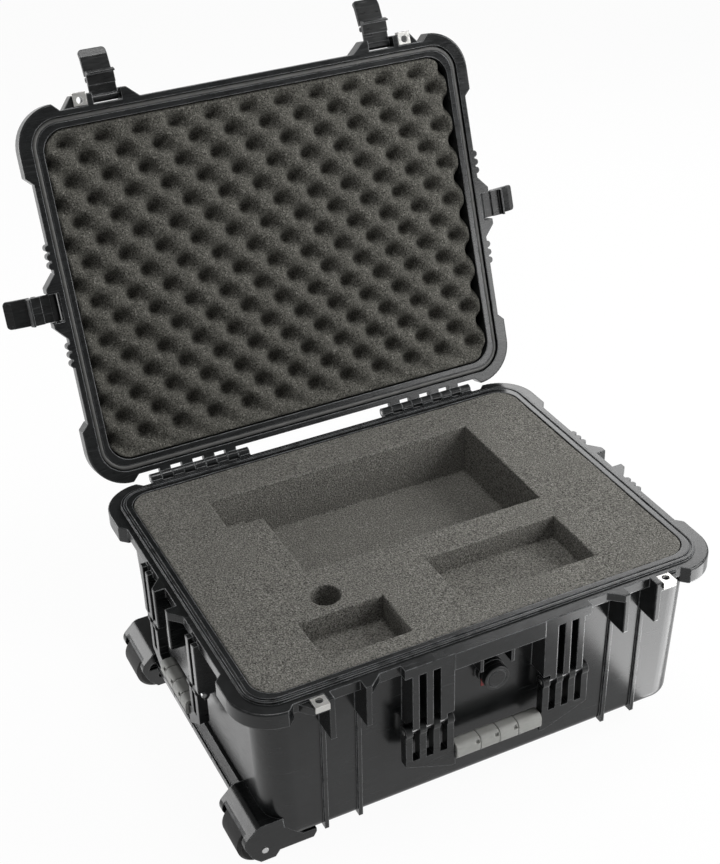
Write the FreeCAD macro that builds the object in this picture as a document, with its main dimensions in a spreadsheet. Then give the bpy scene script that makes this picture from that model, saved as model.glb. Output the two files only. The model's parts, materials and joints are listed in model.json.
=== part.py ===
import FreeCAD, Part
import math
import os
import re

import Sketcher

# Wheeled protective case with its lid open. The frame's origin is at the centre of the base's
# underside, +X along the front towards the pull handle, +Y to the back, +Z up. The wheels and
# the runners hang below the underside. Every piece is drawn with the lid and the latches
# closed, and is then turned open.

doc = FreeCAD.newDocument("protective_case")
sheet = doc.addObject("Spreadsheet::Sheet", "sizes")

sizes = {
    # rim that the two shells share
    "rim_length": 593,
    "rim_width": 461,
    "rim_height": 222,
    "rim_corner": 42,
    "flange_depth": 16,
    "flange_overhang": 15,
    "wall": 5,
    "tongue_inset": 7.5,
    "tongue_height": 3,
    "rim_groove_inset": 11,
    "rim_groove_width": 2.5,
    "rim_groove_depth": 2,
    # base shell
    "base_draft": 7,
    "wall_corner": 34,
    "bottom_round": 12,
    "corner_foot": 234,
    "corner_run": 43,
    "corner_rise": 38,
    "floor_wall": 5,
    "base_rib_width": 5,
    "base_rib_out": 3.5,
    "back_rib_x": 92,
    "under_panel_length": 320,
    "under_panel_width": 150,
    "under_panel_corner": 14,
    "under_line": 2,
    "under_line_depth": 1,
    "overrun": 4,
    # lid shell
    "lid_height": 50,
    "lid_draft": 4,
    "lid_round": 10,
    "lid_top_wall": 5,
    "lid_flange_depth": 14,
    "lid_open": 108.6,
    "rim_gap": 0.5,
    "skirt_width": 7,
    "lid_groove_width": 6.5,
    "lid_groove_depth": 6,
    "gasket_gap": 0.3,
    "lid_rib_height": 2.5,
    "lid_rib_width": 16,
    "lid_rib_pitch": 74,
    "lid_rib_inset": 62,
    # corner bumpers and gripping teeth of both shells
    "bumper_out": 9,
    "bumper_run": 50,
    "bumper_side_run": 80,
    "bumper_depth": 24,
    "bumper_edge": 2,
    "tooth_radius": 4.5,
    "tooth_first": 51,
    "tooth_pitch": 11,
    # hinges
    "hinge_setback": 10.4,
    "hinge_drop": 3.3,
    "hinge_x": 166,
    "hinge_run": 136,
    "hinge_radius": 6,
    "hinge_leaf": 9,
    "hinge_pin_radius": 2.5,
    "pin_clearance": 0.05,
    "knuckle_gap": 0.4,
    # latch stations
    "latch_x": 186,
    "latch_gap": 36,
    "latch_side_gap": 0.7,
    "latch_pin_out": 5.5,
    "latch_pin_rise": 12,
    "latch_pin_radius": 2,
    "latch_barrel": 4.8,
    "latch_open": 92,
    "claw_plate": 5,
    "claw_front_gap": 0.8,
    "claw_step": 16,
    "claw_recess": 2.4,
    "hook_gap": 0.7,
    "hook_reach": 5.5,
    "hook_depth": 4.5,
    "lever_pin_drop": 23,
    "lever_pin_out": 3.8,
    "lever_pin_radius": 1.5,
    "lever_pin_inset": 1,
    "lever_barrel": 3.2,
    "lever_plate": 4.6,
    "lever_length": 61,
    "lever_flare": 3.5,
    "lever_ear": 4.5,
    "lever_neck": 5,
    "lever_corner": 5,
    "lever_bend": 10,
    "lever_open": 12,
    "cheek_thick": 7,
    "cheek_drop": 58,
    "cheek_rise": 18,
    "bracket_out": 14,
    "bracket_run": 23,
    "bracket_edge": 1.2,
    "shelf_depth": 10,
    "padlock_bracket_run": 37,
    # padlock plates
    "padlock_x": 34,
    "padlock_out": 7.5,
    "padlock_radius": 4.5,
    "padlock_relief": 1.2,
    "plate_thick": 3,
    "plate_width": 17,
    "plate_lip": 5,
    "plate_back": 1,
    # handle knuckles
    "knuckle_radius": 7,
    "prong_pitch": 17.5,
    "prong_gap": 0.4,
    "handle_pin_radius": 3,
    "pin_show": 2,
    "front_pin_height": 124,
    "front_pin_out": 2.5,
    "front_prong_first": 62.5,
    "side_pin_height": 138,
    "side_pin_out": 0,
    "side_prong_first": 56.75,
    # panel between the front knuckles
    "band_depth": 13,
    "bar_half": 58,
    "bar_depth": 23,
    "bar_proud": 1,
    "panel_floor": 136,
    "gusset_x": 20,
    "gusset_thick": 4,
    "gusset_drop": 24,
    "gusset_inset": 6,
    # carrying handles
    "handle_drop": 52,
    "prong_radius": 8,
    "prong_root": 48,
    "prong_deep": 12,
    "web_rise": 6,
    "web_hang": 18,
    "core_overlap": 6,
    "grip_core": 6,
    "grip_gap": 0.05,
    "grip_tall": 21,
    "grip_deep": 20,
    "grip_edge": 7,
    "front_grip_half": 56,
    "side_grip_half": 42,
    "grip_slot_length": 5,
    "grip_slot_width": 4,
    "grip_slot_depth": 2.5,
    "grip_line": 1.2,
    "grip_line_depth": 0.8,
    "grip_pitch": 25,
    "grip_slot_back": 4,
    "grip_slot_rise": 6,
    # purge valve
    "valve_height": 155,
    "valve_boss_radius": 17,
    "valve_boss_out": 8,
    "valve_stem_radius": 6,
    "valve_stem_length": 12,
    "valve_flange_radius": 15,
    "valve_flange_thick": 3,
    "valve_tab_out": 14.5,
    "valve_tab_width": 10,
    "valve_seal_radius": 13,
    "valve_seal_thick": 1.6,
    "valve_knob_radius": 16,
    "valve_knob_thick": 8,
    "valve_knob_gap": 0.3,
    "valve_hub_radius": 3,
    "valve_groove": 1.2,
    "valve_ring_radius": 12,
    # foam
    "foam_gap": 0.5,
    "pocket_edge": 3,
    "main_pocket_left": 188,
    "main_pocket_right": 177,
    "main_pocket_front": 34,
    "main_pocket_back": 152,
    "main_pocket_depth": 70,
    "main_step_length": 46,
    "main_step_width": 62,
    "main_step_depth": 45,
    "small_pocket_left": 188,
    "small_pocket_right": 83,
    "small_pocket_front": 186,
    "small_pocket_back": 116,
    "small_pocket_depth": 32,
    "box_pocket_left": 6,
    "box_pocket_right": 170,
    "box_pocket_front": 166,
    "box_pocket_back": 78,
    "box_pocket_depth": 30,
    "round_pocket_x": 140,
    "round_pocket_y": 84,
    "round_pocket_radius": 18,
    "round_pocket_depth": 34,
    "lid_foam_gap": 1.5,
    # wheels
    "floor_drop": 32,
    "axle_x": 282,
    "axle_radius": 4,
    "axle_end": 0.6,
    "wheel_y": 168,
    "wheel_radius": 28,
    "wheel_width": 52,
    "hub_radius": 19,
    "hub_web": 14,
    "hub_rim": 4,
    "tyre_edge": 4,
    "bearing_radius": 9,
    "bearing_width": 7,
    "fit_gap": 0.03,
    # wheel housings and the bar between them
    "housing_near": 130,
    "housing_far": 206,
    "housing_rise": 34,
    "housing_out": 306,
    "housing_shoulder": 18,
    "housing_round": 13,
    "housing_cheek": 8,
    "housing_chin": 298,
    "housing_chin_drop": 10,
    "housing_heel": 288,
    "housing_hang": 20,
    "housing_foot": 270,
    "housing_step": 264,
    "housing_arm_hang": 12,
    "housing_arm": 218,
    "housing_nose": 5,
    "housing_slope": 4,
    "housing_recess": 5,
    "housing_recess_rim": 4,
    "wheel_room": 3,
    "wheel_side_room": 3,
    "seat_gap": 0.3,
    "bar_out": 288,
    "bar_top": 32,
    "bar_slope": 6,
    "bar_step": 3,
    "bar_shoulder": 20,
    "bar_low": 12,
    "bar_seam": 1.6,
    "bar_seam_pitch": 62,
    "screw_radius": 2.5,
    "screw_head_radius": 4.5,
    "screw_head": 3,
    "screw_x": 226,
    "screw_inset": 16,
    "screw_cover": 1,
    # runners and pull handle
    "runner_y": 120,
    "runner_width": 42,
    "runner_left": 196,
    "runner_right": 256,
    "runner_edge": 3,
    "rail_width": 26,
    "rail_height": 14,
    "rail_gap": 0.5,
    "rail_left": 186,
    "pull_grip_left": 262,
    "pull_grip_right": 286,
    "pull_grip_half": 142,
    "pull_grip_height": 22,
    "pull_grip_edge": 6,
}

for row, (alias, value) in enumerate(sizes.items(), start=1):
    sheet.set("A%d" % row, alias)
    sheet.set("B%d" % row, str(value))
    sheet.setAlias("B%d" % row, alias)
doc.recompute()

planes = {"xy": "XY_Plane", "xz": "XZ_Plane", "yz": "YZ_Plane"}
pieces = {}
hair = 1e-4
steep_share = 0.95
hinge_knuckle_count = 9
tooth_count = 3


def size(alias):
    return float(sheet.get(alias))


def bind(made, prop, text):
    # words that are names in the sheet become references to its cells
    words = r"[a-z_]+"
    made.setExpression(prop, re.sub(words,
                                    lambda w: "sizes." + w.group() if w.group() in sizes else w.group(),
                                    text))


def piece(name, made):
    made.Label = name
    pieces[name] = made
    return made


def block(name, x, y, z):
    made = doc.addObject("Part::Box", name)
    for prop, (low, high) in zip(("Length", "Width", "Height"), (x, y, z)):
        bind(made, prop, "(%s) - (%s)" % (high, low))
    for axis, (low, high) in zip("xyz", (x, y, z)):
        bind(made, "Placement.Base." + axis, low)
    return made


def rod(name, axis, radius, low, high, centre):
    # a cylinder from low to high along one axis; centre gives the two other coordinates in order
    made = doc.addObject("Part::Cylinder", name)
    bind(made, "Radius", radius)
    bind(made, "Height", "(%s) - (%s)" % (high, low))
    turns = {"x": FreeCAD.Rotation(FreeCAD.Vector(0, 1, 0), 90),
             "y": FreeCAD.Rotation(FreeCAD.Vector(1, 0, 0), -90),
             "z": FreeCAD.Rotation()}
    made.Placement = FreeCAD.Placement(FreeCAD.Vector(), turns[axis])
    others = [letter for letter in "xyz" if letter != axis]
    for letter, text in zip([axis] + others, (low,) + tuple(centre)):
        bind(made, "Placement.Base." + letter, text)
    return made


def new_body(name):
    return doc.addObject("PartDesign::Body", name)


def new_sketch(body, plane, offset):
    drawn = body.newObject("Sketcher::SketchObject", body.Name + "_sketch")
    support = [feature for feature in body.Origin.OriginFeatures if feature.Role == planes[plane]][0]
    drawn.AttachmentSupport = [(support, "")]
    drawn.MapMode = "FlatFace"
    bind(drawn, "AttachmentOffset.Base.z", offset)
    return drawn


def hold(drawn, kind, args, text):
    index = drawn.addConstraint(Sketcher.Constraint(kind, *args))
    bind(drawn, "Constraints[%d]" % index, text)


def draw_outline(drawn, points):
    # a closed polygon whose corners are held at their places from the sketch's origin
    count = len(points)
    first = drawn.GeometryCount
    angles = [2 * math.pi * step / count for step in range(count + 1)]
    rough = [FreeCAD.Vector(math.cos(angle), math.sin(angle), 0) for angle in angles]
    for start, end in zip(rough, rough[1:]):
        drawn.addGeometry(Part.LineSegment(start, end))
    for step in range(count):
        drawn.addConstraint(Sketcher.Constraint("Coincident", first + step, 2, first + (step + 1) % count,
                                                1))
    for step, (x, y) in enumerate(points):
        hold(drawn, "DistanceX", (-1, 1, first + step, 1, rough[step].x), x)
        hold(drawn, "DistanceY", (-1, 1, first + step, 1, rough[step].y), y)


def draw_circle(drawn, x, y, radius):
    index = drawn.addGeometry(Part.Circle(FreeCAD.Vector(), FreeCAD.Vector(0, 0, 1), 1))
    hold(drawn, "DistanceX", (-1, 1, index, 3, 0), x)
    hold(drawn, "DistanceY", (-1, 1, index, 3, 0), y)
    hold(drawn, "Radius", (index, 1), radius)


def rectangle(x, y):
    return [(x[0], y[0]), (x[1], y[0]), (x[1], y[1]), (x[0], y[1])]


def centred(length, width):
    half_x = "(%s)/2" % length
    half_y = "(%s)/2" % width
    return rectangle(("-" + half_x, half_x), ("-" + half_y, half_y))


def pad(body, drawn, length):
    made = body.newObject("PartDesign::Pad", body.Name + "_pad")
    made.Profile = drawn
    bind(made, "Length", length)
    return made


def fillet(body, keep, radius):
    # rounds the edges of the body's last feature that the test keeps
    doc.recompute()
    base = body.Tip
    chosen = ["Edge%d" % (index + 1) for index, edge in enumerate(base.Shape.Edges) if keep(edge)]
    made = body.newObject("PartDesign::Fillet", body.Name + "_fillet")
    made.Base = (base, chosen)
    bind(made, "Radius", radius)
    return made


def along(axis):
    # true for straight edges that run along one axis
    def keep(edge):
        run = edge.Vertexes[-1].Point - edge.Vertexes[0].Point
        return run.Length > 0 and abs(getattr(run, axis)) > steep_share * run.Length
    return keep


def at_height(height, axis="z"):
    # true for edges that lie in one plane square to an axis
    def keep(edge):
        return all(abs(getattr(vertex.Point, axis) - height) < hair for vertex in edge.Vertexes)
    return keep


def prism(name, plane, points, low, high):
    # a polygon drawn on a plane and carried from low to high square to it
    body = new_body(name)
    offset = "-(%s)" % high if plane == "xz" else low
    drawn = new_sketch(body, plane, offset)
    draw_outline(drawn, points)
    pad(body, drawn, "(%s) - (%s)" % (high, low))
    return body


def disc(name, plane, x, y, radius, low, high):
    # a circle drawn on a plane and carried from low to high square to it
    body = new_body(name)
    drawn = new_sketch(body, plane, "-(%s)" % high if plane == "xz" else low)
    draw_circle(drawn, x, y, radius)
    pad(body, drawn, "(%s) - (%s)" % (high, low))
    return body


def slab(name, length, width, corner, low, high):
    # a plate with rounded upright corners, centred on the frame
    body = prism(name, "xy", centred(length, width), low, high)
    fillet(body, along("z"), corner)
    return body


def tub(name, upper, lower, corner, rounding=None, closed="lower"):
    # a drafted block with rounded corners and a rounded closed end; each end is (length, width, height)
    body = new_body(name)
    outlines = {}
    for end, (length, width, height) in (("upper", upper), ("lower", lower)):
        outlines[end] = new_sketch(body, "xy", height)
        draw_outline(outlines[end], centred(length, width))
    loft = body.newObject("PartDesign::AdditiveLoft", name + "_loft")
    loft.Profile = outlines["upper"]
    loft.Sections = [(outlines["lower"], "")]
    loft.Ruled = True
    fillet(body, along("z"), corner)
    doc.recompute()
    if rounding:
        fillet(body, at_height(outlines[closed].Placement.Base.z), rounding)
    return body


def turned(name, points):
    # a profile of radius and height revolved about the body's own Y axis
    body = new_body(name)
    drawn = new_sketch(body, "xy", "0")
    draw_outline(drawn, points)
    made = body.newObject("PartDesign::Revolution", name + "_revolution")
    made.Profile = drawn
    made.ReferenceAxis = (drawn, ["V_Axis"])
    return body


def fuse(name, parts):
    made = doc.addObject("Part::MultiFuse", name)
    made.Shapes = parts
    return made


def cut(name, base, tools):
    made = doc.addObject("Part::Cut", name)
    made.Base = base
    made.Tool = tools[0] if len(tools) == 1 else fuse(name + "_tools", tools)
    return made


def common(name, base, tool):
    made = doc.addObject("Part::Common", name)
    made.Base = base
    made.Tool = tool
    return made


def move(made, x, y, z):
    for axis, text in zip("xyz", (x, y, z)):
        bind(made, "Placement.Base." + axis, text)
    return made


def signed(side, text):
    return "%d*(%s)" % (side, text)


def span(side, low, high):
    # a span on one side of the middle plane, in rising order
    return (low, high) if side > 0 else ("-(%s)" % high, "-(%s)" % low)


def drafted(top, height):
    # the base wall's distance from the middle at a height
    return "(%s - base_draft*(rim_height - (%s))/rim_height)" % (top, height)


wall_x = "(rim_length/2 - flange_overhang)"
wall_y = "(rim_width/2 - flange_overhang)"
inside_x = "(rim_length - 2*flange_overhang - 2*wall)"
inside_y = "(rim_width - 2*flange_overhang - 2*wall)"
flange_low = "(rim_height - flange_depth)"
ledge = "(rim_height - tongue_height)"
hinge_y = "(rim_width/2 + hinge_setback)"
hinge_z = "(rim_height - hinge_drop)"

# poses of the lid and of the four latch stations
hinge_point = FreeCAD.Vector(0, size("rim_width") / 2 + size("hinge_setback"),
                             size("rim_height") - size("hinge_drop"))
lid_turn = FreeCAD.Rotation(FreeCAD.Vector(1, 0, 0), -size("lid_open"))
lid_pose = FreeCAD.Placement(FreeCAD.Vector(), lid_turn, hinge_point)


def station(x, y, turn):
    spot = FreeCAD.Vector(x, y, size("rim_height"))
    return FreeCAD.Placement(spot, FreeCAD.Rotation(FreeCAD.Vector(0, 0, 1), turn))


half_length = size("rim_length") / 2
half_width = size("rim_width") / 2
# each station: its pose, the side that carries a padlock plate (0 for none)
stations = {
    "front_left": (station(-size("latch_x"), -half_width, 0), -1),
    "front_right": (station(size("latch_x"), -half_width, 0), 1),
    "left_end": (station(-half_length, 0, -90), 0),
    "right_end": (station(half_length, 0, 90), 0),
}


def cheek(name, side, depth, low, high):
    # a stout plate beside the latch
    made = prism(name, "xy", rectangle(span(side, "latch_gap/2", "latch_gap/2 + cheek_thick"),
                                       ("-bracket_out", depth)), low, high)
    fillet(made, at_height(-size("bracket_out"), "y"), "bracket_edge")
    return made


def bracket(name, side, plated, depth, low, high):
    # a wedge in plan: full reach beside the latch, or past the padlock's plate, then out to nothing
    flat = "padlock_x + plate_width/2 + plate_back" if plated else "latch_gap/2 + cheek_thick"
    run = "padlock_bracket_run" if plated else "bracket_run"
    near = signed(side, "latch_gap/2")
    foot = signed(side, "latch_gap/2 + " + run)
    points = [(near, depth), (near, "-bracket_out"), (signed(side, flat), "-bracket_out"), (foot, "0"),
              (foot, depth)]
    made = prism(name, "xy", points, low, high)
    fillet(made, at_height(-size("bracket_out"), "y"), "bracket_edge")
    return made


def padlock_hole(name, side, low, high):
    return disc(name, "xy", signed(side, "padlock_x"), "-padlock_out", "padlock_radius + padlock_relief",
                low, high)


def corner_wedges(name, low, high):
    # the four corner stretches of a rim, with ends cut at 45 degrees
    made = []
    for x_side in (-1, 1):
        for y_side in (-1, 1):
            x_far = signed(x_side, "rim_length/2 + bumper_out")
            y_far = signed(y_side, "rim_width/2 + bumper_out")
            x_rim = signed(x_side, "rim_length/2")
            y_rim = signed(y_side, "rim_width/2")
            x_end = signed(x_side, "rim_length/2 - bumper_run")
            y_end = signed(y_side, "rim_width/2 - bumper_side_run")
            x_cut = signed(x_side, "rim_length/2 - bumper_run + bumper_out")
            y_cut = signed(y_side, "rim_width/2 - bumper_side_run + bumper_out")
            points = [(x_end, y_rim), (x_cut, y_far), (x_far, y_far), (x_far, y_cut), (x_rim, y_end),
                      (x_end, y_end)]
            made.append(prism("%s_%d" % (name, len(made)), "xy", points, low, high))
    return fuse(name, made)


def bumpers(name, low, high):
    ring = slab(name + "_ring", "rim_length + 2*bumper_out", "rim_width + 2*bumper_out",
                "rim_corner + bumper_out", low, high)
    fillet(ring, lambda edge: not along("z")(edge), "bumper_edge")
    return common(name, ring, corner_wedges(name + "_wedge", low, high))


def teeth(name, ends, low, high):
    # three upright gripping teeth on each side of an end latch
    made = []
    for x_side in ends:
        for y_side in (-1, 1):
            for step in range(tooth_count):
                place = signed(y_side, "tooth_first + %d*tooth_pitch" % step)
                made.append(rod("%s_%d" % (name, len(made)), "z", "tooth_radius", low, high,
                                (signed(x_side, "rim_length/2"), place)))
    return made


def hinge_knuckles(name, first, leaf_low, leaf_high):
    # every second knuckle of both hinges, each a barrel with a leaf back to its rim
    made = []
    for side in (-1, 1):
        for step in range(first, hinge_knuckle_count, 2):
            pitch = "hinge_run/%d" % hinge_knuckle_count
            start = "(%s - hinge_run/2 + %d*%s)" % (signed(side, "hinge_x"), step, pitch)
            low = start + " + knuckle_gap/2"
            high = "%s + %s - knuckle_gap/2" % (start, pitch)
            tag = "%s_%d" % (name, len(made))
            made.append(rod(tag + "_barrel", "x", "hinge_radius", low, high, (hinge_y, hinge_z)))
            made.append(block(tag + "_leaf", (low, high), ("rim_width/2 - hinge_leaf", hinge_y),
                              (leaf_low, leaf_high)))
    return made


def hinge_bores(name):
    made = []
    for side in (-1, 1):
        low = "%s - hinge_run/2 - overrun" % signed(side, "hinge_x")
        high = "%s + hinge_run/2 + overrun" % signed(side, "hinge_x")
        made.append(rod("%s_%d" % (name, len(made)), "x", "hinge_pin_radius + pin_clearance", low, high,
                        (hinge_y, hinge_z)))
    return made


def corner_cut(name, inset):
    # what lies beyond the slope over the wheels, when that slope is moved inwards by an inset
    shift = "(%s)*sqrt(corner_run^2 + corner_rise^2)/corner_rise" % inset
    foot = "-corner_foot + " + shift
    points = [("%s + corner_run*floor_drop/corner_rise" % foot, "-floor_drop"),
              ("%s - 2*corner_run" % foot, "2*corner_rise"),
              ("-rim_length", "2*corner_rise"), ("-rim_length", "-floor_drop")]
    return prism(name, "xz", points, "-rim_width", "rim_width")


# base shell

base_tub = tub("base_tub", ("2*" + wall_x, "2*" + wall_y, ledge),
               ("2*" + drafted(wall_x, "0"), "2*" + drafted(wall_y, "0"),
                "0"), "wall_corner", "bottom_round")
base_outside = cut("base_outside", base_tub, [corner_cut("outside_corner", "0")])
base_room = tub("base_room", (inside_x, inside_y, "rim_height + overrun"),
                ("%s - 2*base_draft" % inside_x, "%s - 2*base_draft" % inside_y, "floor_wall"),
                "wall_corner - wall", "bottom_round - wall")
base_cavity = cut("base_cavity", base_room, [corner_cut("cavity_corner", "wall")])
base_flange = slab("base_flange", "rim_length", "rim_width", "rim_corner", flange_low, ledge)
base_tongue = slab("base_tongue", "rim_length - 2*tongue_inset", "rim_width - 2*tongue_inset",
                   "rim_corner - tongue_inset", ledge, "rim_height")
base_parts = [base_outside, base_flange, base_tongue,
              bumpers("base_bumper", "rim_height - bumper_depth", ledge)]
base_parts += teeth("base_tooth", (1,), flange_low, ledge)
base_parts += hinge_knuckles("base_knuckle", 0, flange_low, hinge_z)
base_cuts = [base_cavity] + hinge_bores("base_hinge_bore")

groove_out = slab("rim_groove_out", "rim_length - 2*rim_groove_inset", "rim_width - 2*rim_groove_inset",
                  "rim_corner - rim_groove_inset", "rim_height - rim_groove_depth", "rim_height + overrun")
groove_in = slab("rim_groove_in", "rim_length - 2*rim_groove_inset - 2*rim_groove_width",
                 "rim_width - 2*rim_groove_inset - 2*rim_groove_width",
                 "rim_corner - rim_groove_inset - rim_groove_width",
                 "rim_height - rim_groove_depth", "rim_height + overrun")
base_cuts.append(cut("rim_groove", groove_out, [groove_in]))
under_out = slab("under_line_out", "under_panel_length + 2*under_line", "under_panel_width + 2*under_line",
                 "under_panel_corner + under_line", "-overrun", "under_line_depth")
under_in = slab("under_line_in", "under_panel_length", "under_panel_width", "under_panel_corner", "-overrun",
                "under_line_depth")
base_cuts.append(cut("under_line", under_out, [under_in]))

for name, (pose, plated) in stations.items():
    for side in (-1, 1):
        tag = "catch_%s_%s" % (name, "far" if side > 0 else "near")
        top = "-tongue_height - plate_thick" if side == plated else "-tongue_height"
        depth = "flange_overhang + wall/2"
        for made in (cheek(tag, side, depth, "-cheek_drop", "-tongue_height"),
                     bracket(tag + "_shelf", side, side == plated, depth, top + " - shelf_depth", top)):
            made.Placement = pose
            base_parts.append(made)
        if side == plated:
            hole = padlock_hole(tag + "_hole", side, "-cheek_drop", "0")
            hole.Placement = pose
            base_cuts.append(hole)


def upright_rib(name, x, y_side):
    # a rib down the drafted front or back wall, from the catches to the bottom edge
    top = "rim_height - cheek_drop"
    inner = signed(y_side, "%s - base_draft - bottom_round" % wall_y)
    points = [(inner, top), (inner, "0"),
              (signed(y_side, "%s + base_rib_out" % drafted(wall_y, "0")), "0"),
              (signed(y_side, "%s + base_rib_out" % drafted(wall_y, top)), top)]
    return prism(name, "yz", points, "%s - base_rib_width/2" % x, "%s + base_rib_width/2" % x)


for side in (-1, 1):
    for number, step in enumerate((-1, 1)):
        place = signed(side, "latch_x + %d*(latch_gap/2 + cheek_thick/2)" % step)
        tag = "%s_%d" % ("right" if side > 0 else "left", number)
        base_parts.append(upright_rib("front_rib_" + tag, place, -1))
        base_parts.append(upright_rib("back_rib_" + tag, signed(side, "back_rib_x + %d*hinge_run" % number),
                                      1))


def local_pose(x, y, z, turn):
    return FreeCAD.Placement(FreeCAD.Vector(x, y, z), FreeCAD.Rotation(FreeCAD.Vector(0, 0, 1), turn))


# carrying handles: pose of the pin's middle, height of its pin, its reach from the rim's edge,
# first prong, prongs and knuckles on each side, half length of the grip
handles = {
    "front": (local_pose(0, -half_width - size("front_pin_out"), size("front_pin_height"), 0),
              "front_pin_height", "front_pin_out", "front_prong_first", 4, 3, "front_grip_half"),
    "side": (local_pose(-half_length - size("side_pin_out"), 0, size("side_pin_height"), -90),
             "side_pin_height", "side_pin_out", "side_prong_first", 2, 2, "side_grip_half"),
}


def prong_span(side, first, step):
    # the stretch along the pin that a prong or, at half steps, a knuckle takes
    middle = signed(side, "%s + %s*prong_pitch" % (first, step))
    return ("%s - prong_pitch/4 + prong_gap/2" % middle, "%s + prong_pitch/4 - prong_gap/2" % middle)


def pin_ends(side, first, held):
    # a pin from the first prong's side through all the prongs and knuckles that it holds
    start = "%s - prong_pitch/4" % first
    return span(side, start, "%s + %d*prong_pitch/2" % (start, held))


for name, (pose, height, out, first, prongs, knuckle_count, grip_half) in handles.items():
    knuckles = []
    bores = []
    back = "%s + flange_overhang + base_draft" % out
    for side in (-1, 1):
        for step in range(knuckle_count):
            reach = prong_span(side, first, step + 0.5)
            tag = "%s_knuckle_%d" % (name, len(knuckles))
            knuckles.append(block(tag, reach, ("-knuckle_radius", back),
                                  ("0", "%s + wall - %s" % (flange_low, height))))
            knuckles.append(rod(tag + "_barrel", "x", "knuckle_radius", reach[0], reach[1], ("0", "0")))
            bores.append(block(tag + "_window", reach, ("-knuckle_radius - overrun", "0"),
                               ("-knuckle_radius - overrun", "handle_pin_radius + pin_show")))
        ends = span(side, "%s - prong_pitch" % first, "%s + %d*prong_pitch + overrun" % (first, prongs))
        bores.append(rod("%s_pin_bore_%d" % (name, side + 1), "x", "handle_pin_radius + pin_clearance",
                         ends[0], ends[1], ("0", "0")))
    comb = fuse(name + "_knuckles", knuckles)
    comb.Placement = pose
    bore = fuse(name + "_pin_bores", bores)
    bore.Placement = pose
    base_parts.append(comb)
    base_cuts.append(bore)

front_face = "(rim_width/2 + front_pin_out + knuckle_radius)"
inner_face = "-(%s - base_draft)" % wall_y
band_half = "(front_prong_first + 3.25*prong_pitch)"
base_parts.append(block("handle_band", ("-" + band_half, band_half),
                        ("-" + front_face, "-rim_width/2 + overrun"),
                        ("%s - band_depth" % ledge, ledge)))
base_parts.append(block("handle_bar", ("-bar_half", "bar_half"),
                        ("-%s - bar_proud" % front_face, inner_face),
                        ("%s - bar_depth" % ledge, ledge)))
for side in (-1, 1):
    panel = span(side, "bar_half", "front_prong_first + 0.75*prong_pitch - prong_gap/2")
    base_parts.append(block("handle_panel_%d" % (side + 1), panel, ("-" + front_face, inner_face),
                            ("panel_floor", "%s - band_depth" % ledge)))
    place = signed(side, "gusset_x")
    base_parts.append(block("handle_gusset_%d" % (side + 1),
                            ("%s - gusset_thick/2" % place, "%s + gusset_thick/2" % place),
                            ("-%s + gusset_inset" % front_face, inner_face),
                            ("%s - bar_depth - gusset_drop" % ledge, "%s - bar_depth" % ledge)))

valve_wall = drafted(wall_y, "valve_height")
valve_face = "(%s + valve_boss_out)" % valve_wall
base_parts.append(disc("valve_boss", "xz", "0", "valve_height", "valve_boss_radius", "-" + valve_face,
                       inner_face))
base_cuts.append(disc("valve_bore", "xz", "0", "valve_height", "valve_stem_radius + fit_gap",
                      "-%s - overrun" % valve_face, "-%s + wall + overrun" % valve_wall))

screw_places = [(y_side, place) for y_side in (-1, 1)
                for place in ("housing_near + screw_inset", "housing_far - screw_inset")]


def at_screws(name, radius, low, high):
    # one upright rod at each of the housings' screws
    return [rod("%s_%d" % (name, number), "z", radius, low, high, ("-screw_x", signed(y_side, place)))
            for number, (y_side, place) in enumerate(screw_places)]


base_cuts += at_screws("screw_bore", "screw_radius + fit_gap", "-overrun", "floor_wall - screw_cover")
piece("base_shell", cut("base_shell", fuse("base_shell_solid", base_parts), base_cuts))

# padlock plates, latch pins and latches

lid_low = "(rim_gap - tongue_height)"
plate_reach = "(bracket_out + plate_thick)"


def padlock_plate(name, side, low, lip_low, lip_high, pose):
    # a bent plate: a flat with the padlock's hole and a lip over the front of its bracket
    body = new_body(name)
    middle = signed(side, "padlock_x")
    x = ("%s - plate_width/2" % middle, "%s + plate_width/2" % middle)
    flat = new_sketch(body, "xy", low)
    draw_outline(flat, rectangle(x, ("-" + plate_reach, "-plate_back")))
    draw_circle(flat, middle, "-padlock_out", "padlock_radius")
    pad(body, flat, "plate_thick")
    lip = new_sketch(body, "xy", lip_low)
    draw_outline(lip, rectangle(x, ("-" + plate_reach, "-bracket_out")))
    pad(body, lip, "(%s) - (%s)" % (lip_high, lip_low))
    body.Placement = pose
    return piece(name, body)


for name, (pose, plated) in stations.items():
    if plated:
        hand = name.split("_")[1]
        base_flat = "-tongue_height - plate_thick"
        padlock_plate("base_padlock_plate_" + hand, plated, base_flat, base_flat + " - plate_lip",
                      "-tongue_height", pose)
        padlock_plate("lid_padlock_plate_" + hand, plated, lid_low, lid_low,
                      lid_low + " + plate_thick + plate_lip",
                      lid_pose.multiply(pose))

claw_half = "(latch_gap/2 - latch_side_gap)"
claw_in = "-claw_front_gap"
claw_out = "-(claw_front_gap + claw_plate)"
hook_top = "-(flange_depth + hook_gap)"
lever_y = "(%s - lever_pin_out)" % claw_out
lever_z = "(latch_pin_rise - lever_pin_drop)"
lever_tip = "(latch_pin_rise - lever_length)"
neck_half = "(%s - lever_ear - latch_side_gap)" % claw_half


def turn_about(angle, y, z):
    # a turn about a line along the station's own X axis
    spot = FreeCAD.Vector(0, y, z)
    return FreeCAD.Placement(FreeCAD.Vector(), FreeCAD.Rotation(FreeCAD.Vector(1, 0, 0), angle), spot)


claw_turn = turn_about(-size("latch_open"), -size("latch_pin_out"), size("latch_pin_rise"))
lever_turn = turn_about(-size("lever_open"),
                        -size("claw_front_gap") - size("claw_plate") - size("lever_pin_out"),
                        size("latch_pin_rise") - size("lever_pin_drop"))


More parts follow.
